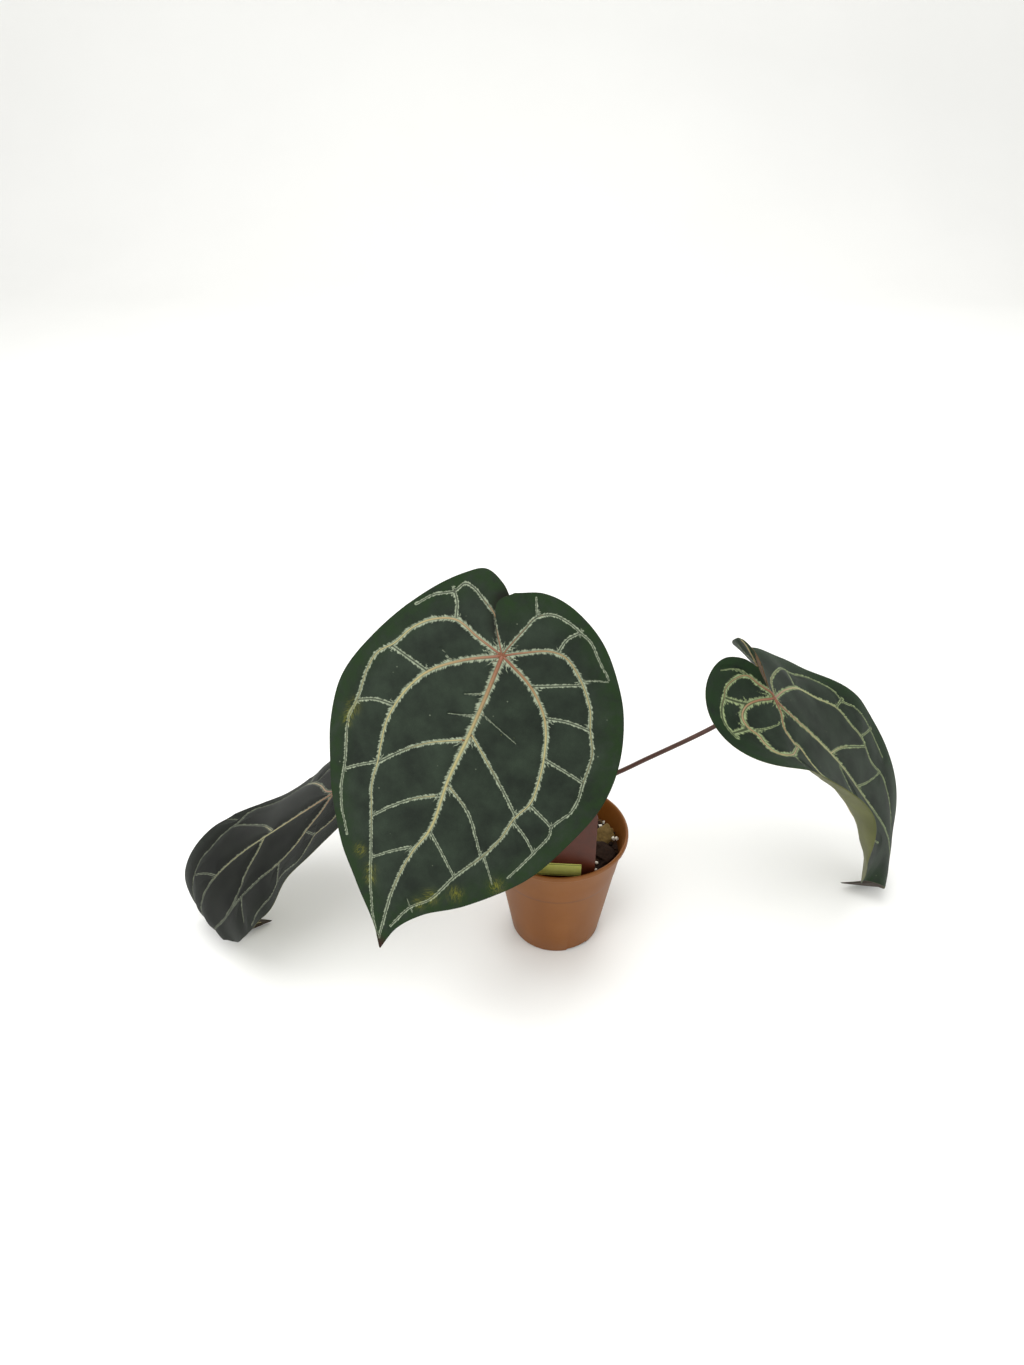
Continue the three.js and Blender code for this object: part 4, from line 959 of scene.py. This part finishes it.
RIGHT_LEAF = {
    "junction": (163.5, -5.8, 250.4),
    # The left half shows velvet below too, where u is under 4 - 0.1 v and v is over 9
    "folded_lobe": (4, 0.1, 9),
    "seed": 2.1,
    "stations": [
        (-60, 5, -80, 50, 70, 85, 10, -45), (-25, 8, -70, 45, 50, 55, 20, -80),
        (20, 13, -46, 40, 20, 5, 30, -98),
        (80, 20, -48, 33, -4, 5, 33, -68), (140, 20, -54, 30, -18, 5, 15, -13),
        (200, 19, -54, 30, -16, 17, 0, 3),
        (250, 16, -72, 29, -8, 28, -10, 10), (285, 10, -95, 26, 5, 8, -5, 0), (297, 5, -130, 25, 10, 10, 0, 0),
        (309, 2, -184, 24, 12, 10, 0, 0), (336, 0, -184, 24, 8, 8, 0, 0),
    ],
    "left_half": {
        "sinus": [(0, 0), (-17, 1), (-33, 3)],
        "margin": [(-42, 11), (-46, 25), (-36, 42), (-12, 65), (14, 78), (58, 86), (102, 86), (151, 78),
        (200, 65),
                   (247, 43), (279, 19), (305, 7)],
    },
    "right_half": {
        "sinus": [(0, 0), (-17, -1), (-34, -3)],
        "margin": [(-42, -12), (-44, -27), (-34, -44), (-13, -60), (14, -70), (55, -82), (99, -86), (143, -82),
                   (192, -69), (236, -53), (281, -28), (309, -12)],
    },
    "yellowing": [],
    "veins": [
        ([(0, 0), (60, 0), (130, 0), (200, 0), (300, 0)], 3, 1.2, 190),
        ([(0, 0), (28, 29), (56, 46), (84, 50), (106, 53), (123, 47), (146, 45), (169, 36), (195, 38),
          (219, 29), (250, 14)], 3, 1.2, 80),
        ([(0, 0), (10, 30), (42, 64), (55, 66), (85, 75), (107, 72), (114, 65), (129, 67), (158, 64),
          (190, 55)], 2, 1.1, 30), ([(48, 64), (45, 45)], 1.8, 1.5, 0),
        ([(114, 66), (106, 54)], 1.5, 1.3, 0),
        ([(160, 64), (142, 45)], 1.5, 1.3, 0),
        ([(92, 0), (110, 15), (152, 41)], 2.2, 1.5, 40),
        ([(150, 0), (168, 14), (190, 36)], 1.5, 1, 0),
        ([(0, 0), (13, -5), (19, -16), (31, -23), (38, -23), (55, -38), (74, -38), (110, -40), (160, -34),
          (220, -18)],
         3, 1.1, 70),
        ([(0, 0), (-9, -12), (-12, -23), (-10, -32), (-6, -35), (0, -36), (3, -41), (9, -47), (22, -40),
          (34, -25)],
         3.4, 2.6, 34),
        ([(0, 0), (-6, 0), (-19, -6), (-29, -13), (-29, -24), (-26, -32), (-23, -35), (-20, -41), (-16, -47),
          (-11, -50)],
         3, 1.6, 12),
        ([(-22, -34), (-16, -26), (-13, -22)], 1.9, 2.3, 0),
        ([(-11, -50), (-6, -37)], 1, 2.2, 0),
        ([(-12, 4), (-26, 9), (-38, 16), (-44, 22), (-45, 26)], 2.2, 1.2, 0),
        ([(-30, 12), (-30, 26), (-34, 34)], 1.3, 0.8, 0),
        ([(-2, -33), (13, -15)], 1, 0.8, 0),
        ([(-30, -13), (-33, -15), (-36, -22), (-37, -30)], 0.7, 0.5, 0),
        ([(109, -4), (128, -12), (142, -16), (160, -34)], 1.3, 0.9, 0),
        ([(74, -38), (86, -52), (120, -62), (160, -58)], 1.6, 0.8, 0),
        ([(22, -40), (34, -52), (60, -62), (86, -56)], 1.3, 1, 0),
    ],
}

# Left leaf: drooping, both halves falling away from the midrib and the tip hanging down and back under.

LEFT_LEAF = {
    "junction": (-184.3, -8.2, 158.3),
    "seed": 3.4,
    "stations": [
        (-50, 175, -38, -5, 0, 3, -15, -5), (30, 182, -37, -5, -5, 12, -5, 10),
        (80, 187, -35, -6, -5, 15, 15, 20),
        (130, 194, -44, -10, 0, 5, 20, 30), (170, 199, -73, -14, 5, 0, 28, 28),
        (200, 201, -129, -15, 0, -3, 25, 20),
        (225, 202, -165, -14, -8, 5, 18, 12), (255, 203, -180, -12, -12, 12, 10, 5),
    ],
    "left_half": {
        "sinus": [(0, 0), (-17, 1), (-32, 3)],
        "margin": [(-41, 12), (-41, 27), (-33, 42), (-12, 63), (10, 74), (44, 82), (77, 83), (115, 75),
        (152, 62),
                   (187, 41), (211, 18), (231, 7)],
    },
    "right_half": {
        "sinus": [(0, 0), (-17, -1), (-32, -3)],
        "margin": [(-40, -12), (-38, -24), (-30, -40), (-12, -57), (10, -69), (42, -79), (75, -82), (108, -79),
                   (145, -66), (179, -51), (213, -27), (234, -12)],
    },
    "yellowing": [],
    "veins": [
        ([(0, 0), (60, 0), (130, 0), (190, 0), (245, 0)], 2.8, 1.1, 30),
        ([(0, 0), (6, 7), (13, 17), (25, 27), (38, 38), (57, 44), (77, 44), (95, 44), (110, 43),
          (140, 40)], 2.6, 1.2, 0), ([(79, 0), (86, 12), (92, 18), (103, 27), (109, 33), (126, 39),
          (150, 37), (181, 25), (205, 12)], 2, 1, 0), ([(0, 0), (-12, 16), (-14, 30), (-5, 39), (2, 42),
          (13, 45), (17, 53), (27, 67), (50, 64), (67, 70), (83, 71), (105, 74)], 2.3, 1.1, 0),
        ([(26, 31), (14, 43)], 1.4, 1.4, 0),
        ([(57, 44), (58, 66)], 1.3, 1.2, 0),
        ([(111, 43), (119, 61)], 1.3, 1, 0),
        ([(0, 0), (13, -11), (25, -30), (45, -55), (60, -67), (82, -68), (105, -72)], 2.6, 1.5, 0),
        ([(72, -3), (85, -22), (95, -32), (113, -47), (121, -51)], 2, 1.4, 0),
        ([(105, -72), (112, -67), (116, -56), (121, -51), (134, -43), (143, -38), (152, -36), (160, -32),
          (175, -24), (205, -10)], 1.8, 1, 0),
        ([(140, -2), (149, -13), (162, -26)], 1.4, 1, 0),
        ([(120, -62), (128, -69)], 1, 0.7, 0),
        ([(45, -58), (49, -78)], 1.3, 0.8, 0),
        ([(0, 0), (-10, -14), (-14, -30), (-4, -44), (20, -52), (34, -44)], 2.2, 1.3, 0),
    ],
}

for side, leaf, colours in (
    ("front", FRONT_LEAF, ("#1a211a", "#293328", "#1c2e15", "#949d86", "#5f4629", "#7c2c1e")),
    ("right", RIGHT_LEAF, ("#151d15", "#273126", "#192c15", "#8d9a70", "#4c5820", "#5e3c1c")),
    # The left leaf's velvet is a darker copy of the others: painted shade for a leaf seen at a grazing angle
    ("left", LEFT_LEAF, ("#0b0d0b", "#131611", "#10160e", "#6b705f", "#333c20", "#3a3c20")),
):
    velvet = velvet_blade(f"velvet_{side}_blade", *colours)
    blade = blade_mesh(f"leaf_blade_{side}", leaf, (velvet, under_blade, rib_cord))
    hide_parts(f"leaf_{side}")

# Plant tag: a brown polystyrene plate, punched from sheet, that stands on its stake in the front of the mix
# with its top tipped forwards. Most of it is behind the front leaf.

TAG_PLACE = (0, -45, 107)
TAG_LEAN = math.radians(3)
TAG_YAW = math.radians(-4)
TAG_THICKNESS = 1
# The right half of the plate, from the foot of its stake to its top edge; the left half mirrors it
TAG_HALF_OUTLINE = [
    (1, -48), (4.5, -45), (7.2, -40), (9, -16), (11, -11.5), (16, -9), (22.3, -8), (25.4, -7), (27.6, -4.4),
    (28.3, 0), (28.3, 59), (27.7, 62), (26.3, 64.2), (24.2, 65.6), (21.3, 66),
]


def standing(points):
    """Puts points of the tag's plate, right, up and out of its face, where the tag stands."""
    placed = []
    for right, up, out in points:
        forward = -out * math.cos(TAG_LEAN) - up * math.sin(TAG_LEAN)
        placed.append((
            TAG_PLACE[0] + right * math.cos(TAG_YAW) - forward * math.sin(TAG_YAW),
            TAG_PLACE[1] + right * math.sin(TAG_YAW) + forward * math.cos(TAG_YAW),
            TAG_PLACE[2] + up * math.cos(TAG_LEAN) - out * math.sin(TAG_LEAN),
        ))
    return placed


def cut_sheet(outline, low, high):
    """A flat sheet cut to an outline, between two heights out of the plate's face."""
    count = len(outline)
    vertices = standing([(*spot, high) for spot in outline] + [(*spot, low) for spot in outline])
    sides = [(i, (i + 1) % count, count + (i + 1) % count, count + i) for i in range(count)]
    return vertices, [tuple(range(count)), tuple(range(2 * count - 1, count - 1, -1)), *sides]


# Polystyrene sheet: red-brown and glossy, with faint scuffs of 8 mm from handling.

polystyrene, add, skin = new_finish("glossy_brown_polystyrene")
place = add("TexCoord").outputs["Object"]
scuffs = add("TexNoise", {"Vector": place, "Scale": 1000 / 8.33, "Detail": 5, "Roughness": 0.7})
feed(skin, {
    "Base Color": add("MixRGB", {"Fac": scuffs, "Color1": "#3c1a0c", "Color2": "#582817"}),
    "Roughness": add("MapRange", {"Value": scuffs, "To Min": 0.34, "To Max": 0.5}),
    "IOR": 1.59,
    "Specular IOR Level": 0.25,
})

tag_outline = TAG_HALF_OUTLINE + [(-right, up) for right, up in reversed(TAG_HALF_OUTLINE)]
tag = new_piece("plant_tag", *cut_sheet(tag_outline, -TAG_THICKNESS, 0), polystyrene)
shape_with(tag, "BEVEL", width=0.00022, segments=2, limit_method="ANGLE")
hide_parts("plant_tag")

# Label tape: laminated yellow-green tape with a thin printed rule along its top and bottom, stuck flat on the
# tag. Its paper is faintly cloudy every 3 mm, and it is pale and half glossy.

LABEL_SPAN = (-24, 17.4)
LABEL_RISE = (-7.5, 6.5)
LABEL_CORNER = 0.5
LABEL_THICKNESS = 0.4
LABEL_GAP = 0.05
# How far each rule lies from the tape's middle, and half its width
RULE_REACH = 6
RULE_HALF = 0.42

tape, add, skin = new_finish("laminated_label_tape")
rise = add("Attribute", attribute_name="rise").outputs["Fac"]
fibres = add("TexNoise", {"Vector": add("TexCoord").outputs["Object"], "Scale": 1000 / 3.33, "Detail": 3})
paper = add("MixRGB", {"Fac": fibres, "Color1": "#d6da6c", "Color2": "#e8ec88"})
above_middle = add("Math", {0: rise, 1: -sum(LABEL_RISE) / 2}, operation="ADD")
from_middle = add("Math", {0: above_middle}, operation="ABSOLUTE")
rule = add("Math", {0: from_middle, 1: RULE_REACH, 2: RULE_HALF}, operation="COMPARE")
faded = add("Math", {0: rule, 1: 0.75}, operation="MULTIPLY")
printed = add("MixRGB", {"Fac": faded, "Color1": paper, "Color2": "#3f4a26"})
feed(skin, {"Base Color": printed, "Roughness": 0.4})

(left, right), (low, high), cut = LABEL_SPAN, LABEL_RISE, LABEL_CORNER
tape_outline = [
    (left + cut, low), (right - cut, low), (right, low + cut), (right, high - cut), (right - cut, high),
    (left + cut, high), (left, high - cut), (left, low + cut),
]
tape_sheet = cut_sheet(tape_outline, LABEL_GAP, LABEL_GAP + LABEL_THICKNESS)
heights = (np.array(tape_sheet[0])[:, 2] - TAG_PLACE[2]) / math.cos(TAG_LEAN)
label = new_piece("label_tape", *tape_sheet, tape, marks=[("rise", heights)])
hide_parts("tag_label")

# Studio: a pale paper sweep that runs from under the pot up behind it, lit softly from above and both sides.
# The paper is matt, with clouds of a third of a metre.

SWEEP_FRONT = -2600
SWEEP_BACK = 2200
SWEEP_BEND = 900
SWEEP_HEIGHT = 3200
SWEEP_WIDTH = 7000
# Each light's name, place, aim, side length and power
LIGHTS = [
    ("overhead", (-0.5, -0.5, 2.2), (0, 0, 0.2), 1.8, 34),
    ("front_left", (-1.9, -1.9, 1.5), (0, 0, 0.2), 1.4, 26),
    ("right_fill", (2.2, -0.9, 1.2), (0, 0, 0.15), 1.6, 14),
    ("behind", (0.3, 1.8, 1.9), (0, 0, 0.2), 1.6, 16),
]
ROOM_LIGHT = 0.75

paper_sweep, add, skin = new_finish("pale_paper_sweep")
clouds = add("TexNoise", {"Vector": add("TexCoord").outputs["Object"], "Scale": 1000 / 333, "Detail": 2})
white = add("MixRGB", {"Fac": clouds, "Color1": "#f1f1ef", "Color2": "#f6f6f4"})
feed(skin, {"Base Color": white, "Roughness": 0.9, "Specular IOR Level": 0.2})

bend = [
    (SWEEP_BACK + SWEEP_BEND * math.sin(a), SWEEP_BEND * (1 - math.cos(a)))
    for a in np.linspace(0, math.pi / 2, 24)
]
section = [(SWEEP_FRONT, 0), *bend, (SWEEP_BACK + SWEEP_BEND, SWEEP_HEIGHT)]
sweep_points = [(x, y, z) for y, z in section for x in (-SWEEP_WIDTH / 2, SWEEP_WIDTH / 2)]
sweep = new_piece("paper_sweep", sweep_points, grid_faces(len(section), 2), paper_sweep)

for name, spot, aim, size, power in LIGHTS:
    lamp = bpy.data.lights.new(name, "AREA")
    lamp.size = size
    lamp.energy = power
    light = bpy.data.objects.new(name, lamp)
    light.location = spot
    light.rotation_euler = (Vector(aim) - Vector(spot)).to_track_quat("-Z", "Y").to_euler()
    bpy.context.scene.collection.objects.link(light)

world = bpy.data.worlds.new("soft_room")
world.use_nodes = True
feed(world.node_tree.nodes["Background"], {"Color": "#f6f6f4", "Strength": ROOM_LIGHT})
bpy.context.scene.world = world
bpy.context.scene.view_settings.view_transform = "Standard"

# Camera: where the photograph was taken from, a little above the leaves and looking down at the pot.

CAMERA_PLACE = (-0.0392, -0.6518, 0.7055)
CAMERA_PITCH = 34.3
CAMERA_LENS = 27.03

view = bpy.data.cameras.new("photograph")
view.lens = CAMERA_LENS
view.sensor_width = 36
view.clip_start = 0.01
camera = bpy.data.objects.new("photograph", view)
camera.location = CAMERA_PLACE
camera.rotation_euler = (math.radians(90 - CAMERA_PITCH), 0, 0)
bpy.context.scene.collection.objects.link(camera)
bpy.context.scene.camera = camera
